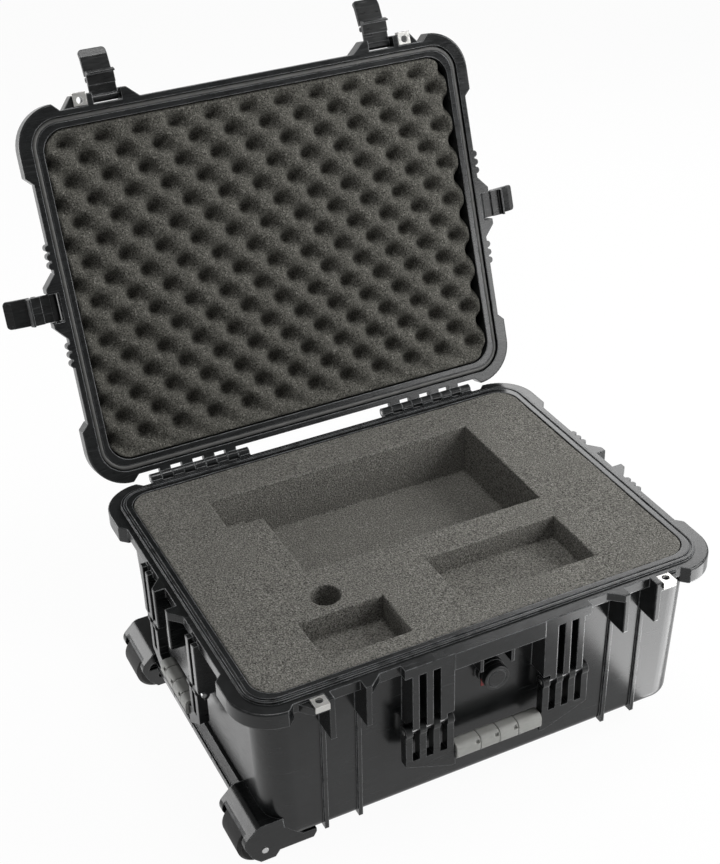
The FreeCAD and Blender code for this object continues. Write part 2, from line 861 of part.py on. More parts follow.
def claw(name):
    # a plate that hangs from the lid's pin, with a hook below and two ears for the lever's pin
    recess = "%s - claw_recess" % claw_in
    step = "latch_pin_rise - claw_step"
    points = [(recess, "latch_pin_rise"), (recess, step), (claw_in, step), (claw_in, hook_top),
              ("hook_reach", hook_top), ("hook_reach", "%s - hook_depth/2" % hook_top),
              (claw_in, "%s - hook_depth" % hook_top), (claw_out, "%s - hook_depth" % hook_top),
              (claw_out, "latch_pin_rise")]
    parts = [prism(name + "_plate", "yz", points, "-" + claw_half, claw_half),
             disc(name + "_barrel", "yz", "-latch_pin_out", "latch_pin_rise", "latch_barrel",
                  "-" + claw_half, claw_half)]
    for side in (-1, 1):
        low, high = span(side, "%s - lever_ear" % claw_half, claw_half)
        tag = "%s_ear_%d" % (name, side + 1)
        parts.append(block(tag, (low, high), (lever_y, claw_in + " - claw_recess"),
                           ("%s - lever_barrel" % lever_z, "%s + lever_barrel" % lever_z)))
        parts.append(disc(tag + "_round", "yz", lever_y, lever_z, "lever_barrel", low, high))
    bores = [disc(name + "_pin_bore", "yz", "-latch_pin_out", "latch_pin_rise",
                  "latch_pin_radius + pin_clearance",
                  "-%s - overrun" % claw_half, "%s + overrun" % claw_half),
             disc(name + "_lever_bore", "yz", lever_y, lever_z, "lever_pin_radius + pin_clearance",
                  "-%s - overrun" % claw_half, "%s + overrun" % claw_half)]
    return cut(name, fuse(name + "_solid", parts), bores)


def lever(name):
    # a narrow neck round the lever's pin, widening to a paddle with an outward bend at its tip
    half = "lever_plate/2"
    inner = "%s + %s" % (lever_y, half)
    outer = "%s - %s" % (lever_y, half)
    shoulder = "%s - lever_neck" % lever_z
    points = [(inner, shoulder), (inner, "%s + lever_bend" % lever_tip),
              ("%s - lever_flare" % inner, lever_tip),
              ("%s - lever_flare" % outer, lever_tip), (outer, "%s + lever_bend" % lever_tip), (outer,
                                                                                                shoulder)]
    paddle = prism(name + "_paddle", "yz", points, "-" + claw_half, claw_half)
    tip = at_height(size("latch_pin_rise") - size("lever_length"))
    fillet(paddle, lambda edge: along("y")(edge) and tip(edge), "lever_corner")
    parts = [paddle,
             block(name + "_neck", ("-" + neck_half, neck_half), (outer, inner), (shoulder, lever_z)),
             disc(name + "_barrel", "yz", lever_y, lever_z, "lever_barrel", "-" + neck_half, neck_half)]
    bore = disc(name + "_bore", "yz", lever_y, lever_z, "lever_pin_radius + pin_clearance",
                "-%s - overrun" % neck_half, "%s + overrun" % neck_half)
    return cut(name, fuse(name + "_solid", parts), [bore])


for name, (pose, plated) in stations.items():
    on_lid = lid_pose.multiply(pose)
    on_claw = on_lid.multiply(claw_turn)
    pin_half = "(latch_gap/2 + cheek_thick)"
    pin = piece("latch_pin_" + name, disc("latch_pin_" + name, "yz", "-latch_pin_out", "latch_pin_rise",
                                          "latch_pin_radius", "-" + pin_half, pin_half))
    pin.Placement = on_lid
    piece("latch_claw_" + name, claw("latch_claw_" + name)).Placement = on_claw
    pin_half = "(%s - lever_pin_inset)" % claw_half
    pin = piece("lever_pin_" + name, disc("lever_pin_" + name, "yz", lever_y, lever_z, "lever_pin_radius",
                                          "-" + pin_half, pin_half))
    pin.Placement = on_claw
    piece("latch_lever_" + name, lever("latch_lever_" + name)).Placement = on_claw.multiply(lever_turn)

# lid shell, gasket and foam

lid_start = "(rim_height + %s)" % lid_low
lid_top = "(rim_height + lid_height)"
lid_tub = tub("lid_tub", ("2*%s - 2*lid_draft" % wall_x, "2*%s - 2*lid_draft" % wall_y, lid_top),
              ("2*" + wall_x, "2*" + wall_y, lid_start), "wall_corner", "lid_round", "upper")
lid_ceiling = "(%s - lid_top_wall)" % lid_top


def lid_inside(length, height):
    # the drafted room in the lid at a height
    share = "(%s - %s + overrun)/(%s - %s + overrun)" % (height, lid_start, lid_ceiling, lid_start)
    return "(%s - 2*lid_draft*%s)" % (length, share)


lid_cavity = tub("lid_cavity", (lid_inside(inside_x, lid_ceiling), lid_inside(inside_y, lid_ceiling),
                                lid_ceiling),
                 (inside_x, inside_y, "%s - overrun" % lid_start), "wall_corner - wall", "lid_round - wall",
                 "upper")
lid_flange = slab("lid_flange", "rim_length", "rim_width", "rim_corner", lid_start,
                  "%s + lid_flange_depth" % lid_start)
lid_parts = [lid_tub, lid_flange, bumpers("lid_bumper", lid_start,
                                          "%s + bumper_depth - tongue_height" % lid_start)]
lid_parts += teeth("lid_tooth", (-1, 1), lid_start, "%s + lid_flange_depth" % lid_start)
lid_parts += hinge_knuckles("lid_knuckle", 1, lid_start, "%s + hinge_leaf" % lid_start)
lid_cuts = [lid_cavity] + hinge_bores("lid_hinge_bore")


def rim_ring(name, inset, width, low, high):
    # a band that follows the rim, from inset to inset plus width inside its edge
    outer = slab(name + "_outer", "rim_length - 2*(%s)" % inset, "rim_width - 2*(%s)" % inset,
                 "rim_corner - (%s)" % inset, low, high)
    reach = "%s + %s" % (inset, width)
    inner = slab(name + "_inner", "rim_length - 2*(%s)" % reach, "rim_width - 2*(%s)" % reach,
                 "rim_corner - (%s)" % reach, low, high)
    return cut(name, outer, [inner])


lid_cuts.append(slab("tongue_room", "rim_length - 2*skirt_width", "rim_width - 2*skirt_width",
                     "rim_corner - skirt_width", "%s - overrun" % lid_start, "rim_height + rim_gap"))
lid_cuts.append(rim_ring("gasket_groove", "skirt_width", "lid_groove_width", "rim_height",
                         "rim_height + rim_gap + lid_groove_depth"))
for step in range(-2, 3):
    place = "%d*lid_rib_pitch" % step
    rib = block("lid_rib_%d" % (step + 2),
                ("-rim_length/2 + lid_rib_inset", "rim_length/2 - lid_rib_inset"),
                ("%s - lid_rib_width/2" % place, "%s + lid_rib_width/2" % place),
                ("%s - lid_top_wall" % lid_top, "%s + lid_rib_height" % lid_top))
    lid_parts.append(rib)
for name, (pose, plated) in stations.items():
    for side in (-1, 1):
        tag = "bracket_%s_%s" % (name, "far" if side > 0 else "near")
        low = lid_low + " + plate_thick" if side == plated else lid_low
        depth = "skirt_width - wall/2"
        for made in (cheek(tag, side, depth, lid_low, "cheek_rise"),
                     bracket(tag + "_wedge", side, side == plated, depth, low, "cheek_rise")):
            made.Placement = pose
            lid_parts.append(made)
        if side == plated:
            hole = padlock_hole(tag + "_hole", side, "-overrun", "cheek_rise + overrun")
            hole.Placement = pose
            lid_cuts.append(hole)
    back = prism("latch_back_" + name, "xy",
                 rectangle(("-latch_gap/2 - bracket_edge", "latch_gap/2 + bracket_edge"),
                           ("0", "flange_overhang + wall/2")), "0", "cheek_rise - bracket_edge")
    back.Placement = pose
    lid_parts.append(back)
    reach = "(latch_gap/2 + cheek_thick + overrun)"
    bore = disc("latch_bore_" + name, "yz", "-latch_pin_out", "latch_pin_rise",
                "latch_pin_radius + pin_clearance",
                "-" + reach, reach)
    bore.Placement = pose
    lid_cuts.append(bore)
piece("lid_shell", cut("lid_shell", fuse("lid_shell_solid", lid_parts), lid_cuts)).Placement = lid_pose
gasket = rim_ring("lid_gasket", "skirt_width + gasket_gap", "lid_groove_width - 2*gasket_gap",
                  "rim_height + gasket_gap", "rim_height + rim_gap + lid_groove_depth")
piece("lid_gasket", gasket).Placement = lid_pose
foam_ends = []
for height in (lid_ceiling + " - foam_gap", "rim_height + lid_foam_gap"):
    foam_ends.append((lid_inside(inside_x, height) + " - 2*foam_gap",
                      lid_inside(inside_y, height) + " - 2*foam_gap", height))
lid_foam = tub("lid_foam", foam_ends[0], foam_ends[1], "wall_corner - wall", "lid_round - wall", "upper")
piece("lid_foam", lid_foam).Placement = lid_pose

# hinge pins

for side in (-1, 1):
    middle = signed(side, "hinge_x")
    piece("hinge_pin_" + ("right" if side > 0 else "left"),
          rod("hinge_pin_%d" % (side + 1), "x", "hinge_pin_radius", "%s - hinge_run/2" % middle,
              "%s + hinge_run/2" % middle, (hinge_y, hinge_z)))

# base foam with its pockets


def pocket(name, x, y, depth):
    made = prism(name, "xy", rectangle(x, y), "rim_height - " + depth, "rim_height + overrun")
    fillet(made, along("z"), "pocket_edge")
    return made


foam_block = tub("foam_block", ("%s - 2*foam_gap" % inside_x, "%s - 2*foam_gap" % inside_y, "rim_height"),
                 ("%s - 2*base_draft - 2*foam_gap" % inside_x, "%s - 2*base_draft - 2*foam_gap" % inside_y,
                  "floor_wall + foam_gap"), "wall_corner - wall", "bottom_round - wall")
pockets = [
    pocket("main_pocket", ("-main_pocket_left + main_step_length", "main_pocket_right"),
           ("-main_pocket_front", "main_pocket_back"), "main_pocket_depth"),
    pocket("main_step", ("-main_pocket_left", "-main_pocket_left + main_step_length + overrun"),
           ("main_pocket_back - main_step_width", "main_pocket_back"), "main_step_depth"),
    pocket("small_pocket", ("-small_pocket_left", "-small_pocket_right"),
           ("-small_pocket_front", "-small_pocket_back"), "small_pocket_depth"),
    pocket("box_pocket", ("-box_pocket_left", "box_pocket_right"),
           ("-box_pocket_front", "-box_pocket_back"), "box_pocket_depth"),
    rod("round_pocket", "z", "round_pocket_radius", "rim_height - round_pocket_depth",
        "rim_height + overrun",
        ("-round_pocket_x", "-round_pocket_y")),
]
pockets.append(corner_cut("foam_slope", "wall + foam_gap"))
piece("base_foam", cut("base_foam", foam_block, pockets))

# purge valve

seal_face = "(%s + valve_seal_thick)" % valve_face
flange_face = "(%s + valve_flange_thick)" % seal_face
stem = "(%s - valve_stem_length)" % valve_face
valve_parts = [
    rod("valve_flange", "y", "valve_flange_radius", "-" + flange_face, "-" + seal_face,
        ("0", "valve_height")),
    rod("valve_stem", "y", "valve_stem_radius", "-" + seal_face, "-" + stem, ("0", "valve_height")),
]
valve_hub = rod("valve_hub_bore", "y", "valve_hub_radius + pin_clearance", "-%s - overrun" % flange_face,
                "-%s + overrun" % stem, ("0", "valve_height"))
piece("purge_valve_body", cut("purge_valve_body", fuse("purge_valve_solid", valve_parts), [valve_hub]))
seal_ring = rod("valve_seal_ring", "y", "valve_seal_radius", "-" + seal_face, "-" + valve_face,
                ("0", "valve_height"))
seal_tab = block("valve_seal_tab", ("-valve_tab_out", "-valve_tab_out + valve_tab_width"),
                 ("-" + seal_face, "-" + valve_face),
                 ("valve_height - valve_tab_out", "valve_height - valve_tab_out + valve_tab_width"))
seal_hole = rod("valve_seal_hole", "y", "valve_stem_radius + fit_gap", "-%s - overrun" % seal_face,
                "-%s + overrun" % valve_face, ("0", "valve_height"))
piece("purge_valve_seal", cut("purge_valve_seal", fuse("valve_seal_solid", [seal_ring, seal_tab]),
                              [seal_hole]))
knob_low = "(%s + valve_knob_gap)" % flange_face
knob_face = "(%s + valve_knob_thick)" % knob_low
knob = disc("valve_knob", "xz", "0", "valve_height", "valve_knob_radius", "-" + knob_face, "-" + knob_low)
fillet(knob, lambda edge: edge.BoundBox.YMax < -size("rim_width") / 2 + size("wall"), "valve_groove")
shaft = rod("valve_shaft", "y", "valve_hub_radius", "-" + knob_low, "-%s" % valve_face,
            ("0", "valve_height"))
ring_cut = rod("knob_ring_outer", "y", "valve_ring_radius", "-%s - overrun" % knob_face,
               "-%s + valve_groove" % knob_face, ("0", "valve_height"))
ring_keep = rod("knob_ring_inner", "y", "valve_ring_radius - valve_groove", "-%s - overrun" % knob_face,
                "-%s + valve_groove" % knob_face, ("0", "valve_height"))
piece("purge_valve_knob", cut("purge_valve_knob", fuse("purge_knob_solid", [knob, shaft]),
                              [cut("knob_ring", ring_cut, [ring_keep])]))

# carrying handles

for name, (pose, height, out, first, prongs, knuckle_count, grip_half) in handles.items():
    parts = []
    web_end = "(%s + seat_gap)" % grip_half
    core_end = "(%s + core_overlap)" % grip_half
    far_end = "%s + %d*prong_pitch + prong_pitch/4 - prong_gap/2" % (first, prongs - 1)
    near_end = "%s - prong_pitch/4 + prong_gap/2" % first
    for side in (-1, 1):
        for step in range(prongs):
            reach = prong_span(side, first, step)
            tag = "%s_prong_%d" % (name, len(parts))
            parts.append(rod(tag + "_barrel", "x", "prong_radius", reach[0], reach[1], ("0", "0")))
            parts.append(block(tag, reach, ("-prong_deep/2", "prong_deep/2"), ("-prong_root", "0")))
        points = [(signed(side, far_end), "-prong_root + web_rise"), (signed(side, far_end), "-prong_root"),
                  (signed(side, core_end), "-handle_drop - web_hang"), (signed(side, web_end),
                                                                        "-handle_drop - web_hang"),
                  (signed(side, web_end), "-handle_drop + grip_core"), (signed(side, near_end),
                                                                        "-prong_root + web_rise")]
        parts.append(prism("%s_web_%d" % (name, side + 1), "xz", points, "-prong_deep/2", "prong_deep/2"))
        ends = pin_ends(side, first, prongs + knuckle_count)
        pin = disc("%s_handle_pin_%s" % (name, "far" if side > 0 else "near"), "yz", "0", "0",
                   "handle_pin_radius",
                   ends[0], ends[1])
        piece(pin.Name, pin).Placement = pose
    parts.append(rod(name + "_core", "x", "grip_core", "-" + core_end, core_end, ("0", "-handle_drop")))
    far = "(%s + overrun)" % far_end
    bore = rod(name + "_handle_bore", "x", "handle_pin_radius + pin_clearance", "-" + far, far, ("0", "0"))
    piece(name + "_handle_frame", cut(name + "_handle_frame", fuse(name + "_frame_solid", parts),
                                      [bore])).Placement = pose

    section = [("-grip_deep/2", "-handle_drop - grip_tall/2"),
               ("grip_deep/2", "-handle_drop - grip_tall/2"),
               ("grip_deep/2", "-handle_drop + grip_tall/2"), ("-grip_deep/2",
                                                               "-handle_drop + grip_tall/2")]
    handle_grip = prism(name + "_grip", "yz", section, "-" + grip_half, grip_half)
    fillet(handle_grip, along("x"), "grip_edge")
    core_bore = rod(name + "_grip_bore", "x", "grip_core + grip_gap", "-%s - overrun" % grip_half,
                    "%s + overrun" % grip_half, ("0", "-handle_drop"))
    grip_cuts = [core_bore]
    for step in (-1, 0, 1):
        line = "%d*grip_pitch" % step
        tag = "%s_grip_%d" % (name, step + 1)
        inside = prism(tag + "_inside", "yz", section, "%s - grip_line" % line, "%s + grip_line" % line)
        fillet(inside, along("x"), "grip_edge")
        shrink = "grip_line_depth"
        core = prism(tag + "_core", "yz", [(y + (" + " if y.startswith("-") else " - ") + shrink,
                                            z + (" + " if z.endswith("- grip_tall/2") else " - ") + shrink)
                                           for y, z in section], "%s - grip_line" % line,
                                           "%s + grip_line" % line)
        fillet(core, along("x"), "grip_edge")
        ring = block(tag + "_slice", ("%s - grip_line/2" % line, "%s + grip_line/2" % line),
                     ("-grip_deep", "grip_deep"), ("-handle_drop - grip_tall", "-handle_drop + grip_tall"))
        grip_cuts.append(common(tag + "_ring", cut(tag + "_band", inside, [core]), ring))
        slot = "%s - grip_slot_back" % line
        grip_cuts.append(block(tag + "_slot",
                               ("%s - grip_slot_length/2" % slot, "%s + grip_slot_length/2" % slot),
                               ("-grip_deep/2 - overrun", "-grip_deep/2 + grip_slot_depth"),
                               ("-handle_drop + grip_slot_rise - grip_slot_width/2",
                                "-handle_drop + grip_slot_rise + grip_slot_width/2")))
    piece(name + "_handle_grip", cut(name + "_handle_grip", handle_grip, grip_cuts)).Placement = pose

# wheels in their housings

axle_z = "(wheel_radius - floor_drop)"
relief_tub = tub("relief_tub", ("2*%s + 2*seat_gap" % wall_x, "2*%s + 2*seat_gap" % wall_y, "rim_height"),
                 ("2*%s + 2*seat_gap" % drafted(wall_x, "0"), "2*%s + 2*seat_gap" % drafted(wall_y, "0"),
                  "-seat_gap"),
                 "wall_corner + seat_gap")
base_relief = cut("housing_relief", relief_tub, [corner_cut("relief_corner", "-seat_gap")])
housing_outline = [("-housing_arm", "housing_rise"), ("-housing_out + housing_shoulder", "housing_rise"),
                   ("-housing_out", "housing_rise - housing_shoulder"), ("-housing_out", "housing_cheek"),
                   ("-housing_chin", "-housing_chin_drop"), ("-housing_heel", "-housing_hang"),
                   ("-housing_foot", "-housing_hang"), ("-housing_step", "-housing_arm_hang"),
                   ("-housing_arm - housing_slope", "-housing_arm_hang"), ("-housing_arm", "-housing_nose")]
hub_in = "(bearing_radius + fit_gap)"
hub_out = "(hub_radius - fit_gap)"


def shoulder_edge(edge):
    # true for the two edges over the wheel that the housing's shoulder ends in
    spot = edge.CenterOfMass
    over = spot.z > size("housing_cheek") + size("wheel_room")
    return along("y")(edge) and over and spot.x < -size("housing_foot")


def wheel_part(name, points, y_side):
    # a turned piece set at the middle of its wheel
    made = turned(name, points)
    return move(made, "-axle_x", signed(y_side, "wheel_y"), axle_z)


for y_side, hand in ((-1, "front"), (1, "rear")):
    near, far = span(y_side, "housing_near", "housing_far")
    housing = prism("wheel_housing_solid_" + hand, "xz", housing_outline, near, far)
    fillet(housing, shoulder_edge, "housing_round")
    room_y = ("%s - wheel_width/2 - wheel_side_room" % signed(y_side, "wheel_y"),
              "%s + wheel_width/2 + wheel_side_room" % signed(y_side, "wheel_y"))
    room = "(wheel_radius + wheel_room)"
    recess_y = span(y_side, "housing_near - overrun", "housing_near + housing_recess")
    housing_cuts = [
        base_relief,
        rod("wheel_room_" + hand, "y", room, room_y[0], room_y[1], ("-axle_x", axle_z)),
        block("wheel_well_" + hand, ("-axle_x - " + room, "-axle_x + " + room), room_y,
              ("-floor_drop", axle_z)),
        rod("axle_bore_" + hand, "y", "axle_radius + fit_gap", near + " - overrun", far + " + overrun",
            ("-axle_x", axle_z)),
        prism("housing_recess_" + hand, "xz", [("-housing_chin", "housing_cheek"),
                                               ("-housing_chin + housing_recess_rim",
                                                "housing_rise - housing_shoulder"),
                                               ("-housing_foot - housing_recess_rim",
                                                "housing_rise - housing_recess_rim*2"),
                                               ("-housing_foot - housing_recess_rim",
                                                "axle_radius + housing_recess_rim")],
              recess_y[0], recess_y[1]),
    ]
    housing_cuts += at_screws("housing_bore_" + hand, "screw_radius + seat_gap", "-floor_drop", "overrun")
    housing_cuts += at_screws("housing_counterbore_" + hand, "screw_head_radius + seat_gap", "-floor_drop",
                              "-housing_arm_hang + screw_head")
    piece("wheel_housing_" + hand, cut("wheel_housing_" + hand, housing, housing_cuts))
    axle_y = span(y_side, "housing_near + housing_recess", "housing_far + axle_end")
    piece("axle_" + hand, rod("axle_" + hand, "y", "axle_radius", axle_y[0], axle_y[1],
                              ("-axle_x", axle_z)))
    tyre_outline = [("hub_radius", "-wheel_width/2"), ("wheel_radius - tyre_edge", "-wheel_width/2"),
                    ("wheel_radius", "-wheel_width/2 + tyre_edge"), ("wheel_radius",
                                                                     "wheel_width/2 - tyre_edge"),
                    ("wheel_radius - tyre_edge", "wheel_width/2"), ("hub_radius", "wheel_width/2")]
    piece("tyre_" + hand, wheel_part("tyre_" + hand, tyre_outline, y_side))
    hub_outline = [(hub_in, "-wheel_width/2"), (hub_in + " + hub_rim", "-wheel_width/2"),
                   (hub_in + " + hub_rim", "-hub_web/2"), (hub_out + " - hub_rim", "-hub_web/2"),
                   (hub_out + " - hub_rim", "-wheel_width/2"), (hub_out, "-wheel_width/2"),
                   (hub_out, "wheel_width/2"), (hub_out + " - hub_rim", "wheel_width/2"),
                   (hub_out + " - hub_rim", "hub_web/2"), (hub_in + " + hub_rim", "hub_web/2"),
                   (hub_in + " + hub_rim", "wheel_width/2"), (hub_in, "wheel_width/2")]
    piece("wheel_hub_" + hand, wheel_part("wheel_hub_" + hand, hub_outline, y_side))
    rings = []
    for end in (-1, 1):
        low, high = span(end, "wheel_width/2 - bearing_width", "wheel_width/2")
        rings.append(wheel_part("bearing_%s_%d" % (hand, end + 1), [
            ("axle_radius + pin_clearance", low), ("bearing_radius", low), ("bearing_radius", high),
            ("axle_radius + pin_clearance", high)], y_side))
    bearings = doc.addObject("Part::Compound", "wheel_bearings_" + hand)
    bearings.Links = rings
    piece("wheel_bearings_" + hand, bearings)

bar_outline = [("-housing_arm", "bar_top"), ("-bar_out + bar_slope + bar_step", "bar_top"),
               ("-bar_out + bar_step", "bar_shoulder + bar_step"), ("-bar_out + bar_step", "bar_shoulder"),
               ("-bar_out", "bar_shoulder"), ("-bar_out", "bar_low"), ("-housing_arm", "bar_low")]
bar = prism("wheel_bar_solid", "xz", bar_outline, "-(housing_near - seat_gap)", "housing_near - seat_gap")
bar_cuts = [base_relief]
for step in (-1, 0, 1):
    seam = "%d*bar_seam_pitch" % step
    bar_cuts.append(block("bar_seam_%d" % (step + 1), ("-bar_out - overrun", "-bar_out + bar_step"),
                          ("%s - bar_seam/2" % seam, "%s + bar_seam/2" % seam), ("bar_low - overrun",
                                                                                 "bar_top + overrun")))
piece("wheel_bar", cut("wheel_bar", bar, bar_cuts))

screw_heads = at_screws("screw_head", "screw_head_radius", "-housing_arm_hang",
                        "-housing_arm_hang + screw_head")
screw_shanks = at_screws("screw_shank", "screw_radius", "-housing_arm_hang + screw_head",
                         "floor_wall - screw_cover")
screws = doc.addObject("Part::Compound", "housing_screws")
screws.Links = [fuse("screw_%d" % number, list(both)) for number,
                both in enumerate(zip(screw_heads, screw_shanks))]
piece("housing_screws", screws)

# runners and the pull handle whose rails slide in them

rail_z = ("-floor_drop/2 - rail_height/2", "-floor_drop/2 + rail_height/2")
for y_side, hand in ((-1, "front"), (1, "rear")):
    middle = signed(y_side, "runner_y")
    runner = prism("runner_solid_" + hand, "yz",
                   rectangle(("%s - runner_width/2" % middle, "%s + runner_width/2" % middle),
                             ("-floor_drop", "-seat_gap")),
                   "-runner_left", "runner_right")
    fillet(runner, at_height(-size("floor_drop")), "runner_edge")
    slot = block("runner_slot_" + hand, ("-rail_left - rail_gap", "runner_right + overrun"),
                 ("%s - rail_width/2 - rail_gap" % middle, "%s + rail_width/2 + rail_gap" % middle),
                 (rail_z[0] + " - rail_gap", rail_z[1] + " + rail_gap"))
    piece("runner_" + hand, cut("runner_" + hand, runner, [slot]))
    piece("pull_rail_" + hand, block("pull_rail_" + hand, ("-rail_left", "pull_grip_left"),
                                     ("%s - rail_width/2" % middle, "%s + rail_width/2" % middle), rail_z))
pull_grip = prism("pull_grip", "xz", rectangle(("pull_grip_left", "pull_grip_right"),
                                               ("-floor_drop/2 - pull_grip_height/2",
                                                "-floor_drop/2 + pull_grip_height/2")),
                  "-pull_grip_half", "pull_grip_half")
fillet(pull_grip, along("y"), "pull_grip_edge")
piece("pull_grip", pull_grip)

doc.recompute()
for made in doc.Objects:
    if "Invalid" in made.State or "Error" in made.State:
        raise RuntimeError("%s did not compute: %s" % (made.Name, made.getStatusString()))
for name, made in pieces.items():
    if made.Shape.isNull() or not made.Shape.isValid() or not made.Shape.Solids:
        raise RuntimeError("%s has no sound solid" % name)

os.makedirs("parts", exist_ok=True)
for name, made in pieces.items():
    made.Shape.exportStep("parts/%s.step" % name)
print("wrote %d pieces" % len(pieces))
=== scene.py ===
import json
import math

import bpy
import numpy as np
from mathutils import Matrix, Vector


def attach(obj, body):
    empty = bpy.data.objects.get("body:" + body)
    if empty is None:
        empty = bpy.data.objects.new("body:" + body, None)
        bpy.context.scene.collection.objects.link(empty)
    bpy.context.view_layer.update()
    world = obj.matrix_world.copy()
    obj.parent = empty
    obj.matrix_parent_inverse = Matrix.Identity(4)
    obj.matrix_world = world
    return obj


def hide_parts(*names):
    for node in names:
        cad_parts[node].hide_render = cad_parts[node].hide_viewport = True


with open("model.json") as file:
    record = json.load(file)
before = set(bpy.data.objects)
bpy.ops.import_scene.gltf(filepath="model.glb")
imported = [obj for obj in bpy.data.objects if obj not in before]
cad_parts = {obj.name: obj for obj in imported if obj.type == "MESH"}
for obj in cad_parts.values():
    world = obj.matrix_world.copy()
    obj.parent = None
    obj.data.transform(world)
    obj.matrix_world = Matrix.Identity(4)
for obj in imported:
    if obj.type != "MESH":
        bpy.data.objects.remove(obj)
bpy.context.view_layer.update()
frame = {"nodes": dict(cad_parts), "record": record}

nodes = frame["nodes"]
slotOf = {part["node"]: part["material_slot"] for part in frame["record"]["subparts"]}
jointOf = {joint["name"]: joint for joint in frame["record"]["behaviour"]["joints"]}
quarterTurn = math.pi / 2
fullTurn = 2 * math.pi


# node helpers

def addNode(tree, kind, values=None, **settings):
    node = tree.nodes.new(kind)
    for key, value in settings.items():
        setattr(node, key, value)
    for socket, value in (values or {}).items():
        node.inputs[socket].default_value = value
    return node


def feed(tree, socket, value):
    # a link where the value is another node's output, or else a fixed value
    if isinstance(value, bpy.types.NodeSocket):
        tree.links.new(value, socket)
    else:
        socket.default_value = value


def addNoise(tree, detail, rough):
    return addNode(tree, "ShaderNodeTexNoise", {"Detail": detail, "Roughness": rough})


def newGroup(name, inputs, outputs):
    tree = bpy.data.node_groups.new(name, "ShaderNodeTree")
    for label, kind, value in inputs:
        tree.interface.new_socket(name=label, in_out="INPUT", socket_type=kind).default_value = value
    for label, kind in outputs:
        tree.interface.new_socket(name=label, in_out="OUTPUT", socket_type=kind)
    source = tree.nodes.new("NodeGroupInput").outputs
    sink = tree.nodes.new("NodeGroupOutput").inputs
    return tree, source, sink


def placeGroup(tree, group, values):
    node = tree.nodes.new("ShaderNodeGroup")
    node.node_tree = group
    for socket, value in values.items():
        node.inputs[socket].default_value = value
    return node.outputs


def rampBetween(tree, factor, ends):
    # a straight ramp: 0 below the first end, 1 above the second
    node = addNode(tree, "ShaderNodeMapRange", {"From Min": ends[0], "From Max": ends[1]})
    tree.links.new(factor, node.inputs["Value"])
    return node.outputs["Result"]


def spread(tree, factor, low, high):
    # a value that runs from low to high with the factor
    node = addNode(tree, "ShaderNodeMapRange", {"To Min": low, "To Max": high})
    tree.links.new(factor, node.inputs["Value"])
    return node.outputs["Result"]


def mathStep(tree, operation, first, second, clamp=False):
    node = addNode(tree, "ShaderNodeMath", operation=operation, use_clamp=clamp)
    feed(tree, node.inputs[0], first)
    feed(tree, node.inputs[1], second)
    return node.outputs[0]


def weighted(tree, first, firstShare, second, secondShare):
    # first * firstShare + second * secondShare
    one = mathStep(tree, "MULTIPLY", first, firstShare)
    other = mathStep(tree, "MULTIPLY", second, secondShare)
    return mathStep(tree, "ADD", one, other)


def mixColour(tree, factor, first, second):
    node = addNode(tree, "ShaderNodeMix", data_type="RGBA")
    for place, value in ((0, factor), (6, first), (7, second)):   # 6 and 7 are its colour sockets
        feed(tree, node.inputs[place], value)
    return node.outputs[2]


def grey(level):
    return (level, level, level, 1)


white = grey(1)


# shared effects

edgeWearAndHighlightSettings = {"samples": 6, "patchDetail": 4.0, "patchRough": 0.65, "patchRamp": (0.26, 0.54)}


def makeEdgeWearAndHighlight(wearAndHighlight):
    # the mask is one minus the cosine between the face and a rounded corner, broken up by noise; it paints
    # wear and a highlight along the edges
    tree, source, sink = newGroup(
        "edgeWearAndHighlight",
        [("Radius", "NodeSocketFloat", 0.001), ("Gain", "NodeSocketFloat", 4.0),
         ("Patch Scale", "NodeSocketFloat", 60.0)],
        [("Wear And Highlight", "NodeSocketFloat"), ("Corner Normal", "NodeSocketVector")])
    corner = addNode(tree, "ShaderNodeBevel", samples=wearAndHighlight["samples"])
    face = addNode(tree, "ShaderNodeNewGeometry")
    turn = addNode(tree, "ShaderNodeVectorMath", operation="DOT_PRODUCT")
    place = addNode(tree, "ShaderNodeTexCoord")
    patch = addNoise(tree, wearAndHighlight["patchDetail"], wearAndHighlight["patchRough"])
    tree.links.new(source["Radius"], corner.inputs["Radius"])
    tree.links.new(corner.outputs["Normal"], turn.inputs[0])
    tree.links.new(face.outputs["Normal"], turn.inputs[1])
    tree.links.new(place.outputs["Object"], patch.inputs["Vector"])
    tree.links.new(source["Patch Scale"], patch.inputs["Scale"])
    turned = mathStep(tree, "SUBTRACT", 1.0, turn.outputs["Value"])
    bend = mathStep(tree, "MULTIPLY", turned, source["Gain"], clamp=True)
    broken = mathStep(tree, "MULTIPLY", bend, rampBetween(tree, patch.outputs["Fac"], wearAndHighlight["patchRamp"]))
    tree.links.new(broken, sink["Wear And Highlight"])
    tree.links.new(corner.outputs["Normal"], sink["Corner Normal"])
    return tree


pebbleSkin = {"fineDetail": 3.0, "slowDetail": 5.0, "noiseRough": 0.6, "pebbleShare": 0.7, "fineShare": 0.6,
              "mottleRamp": (0.3, 0.7)}


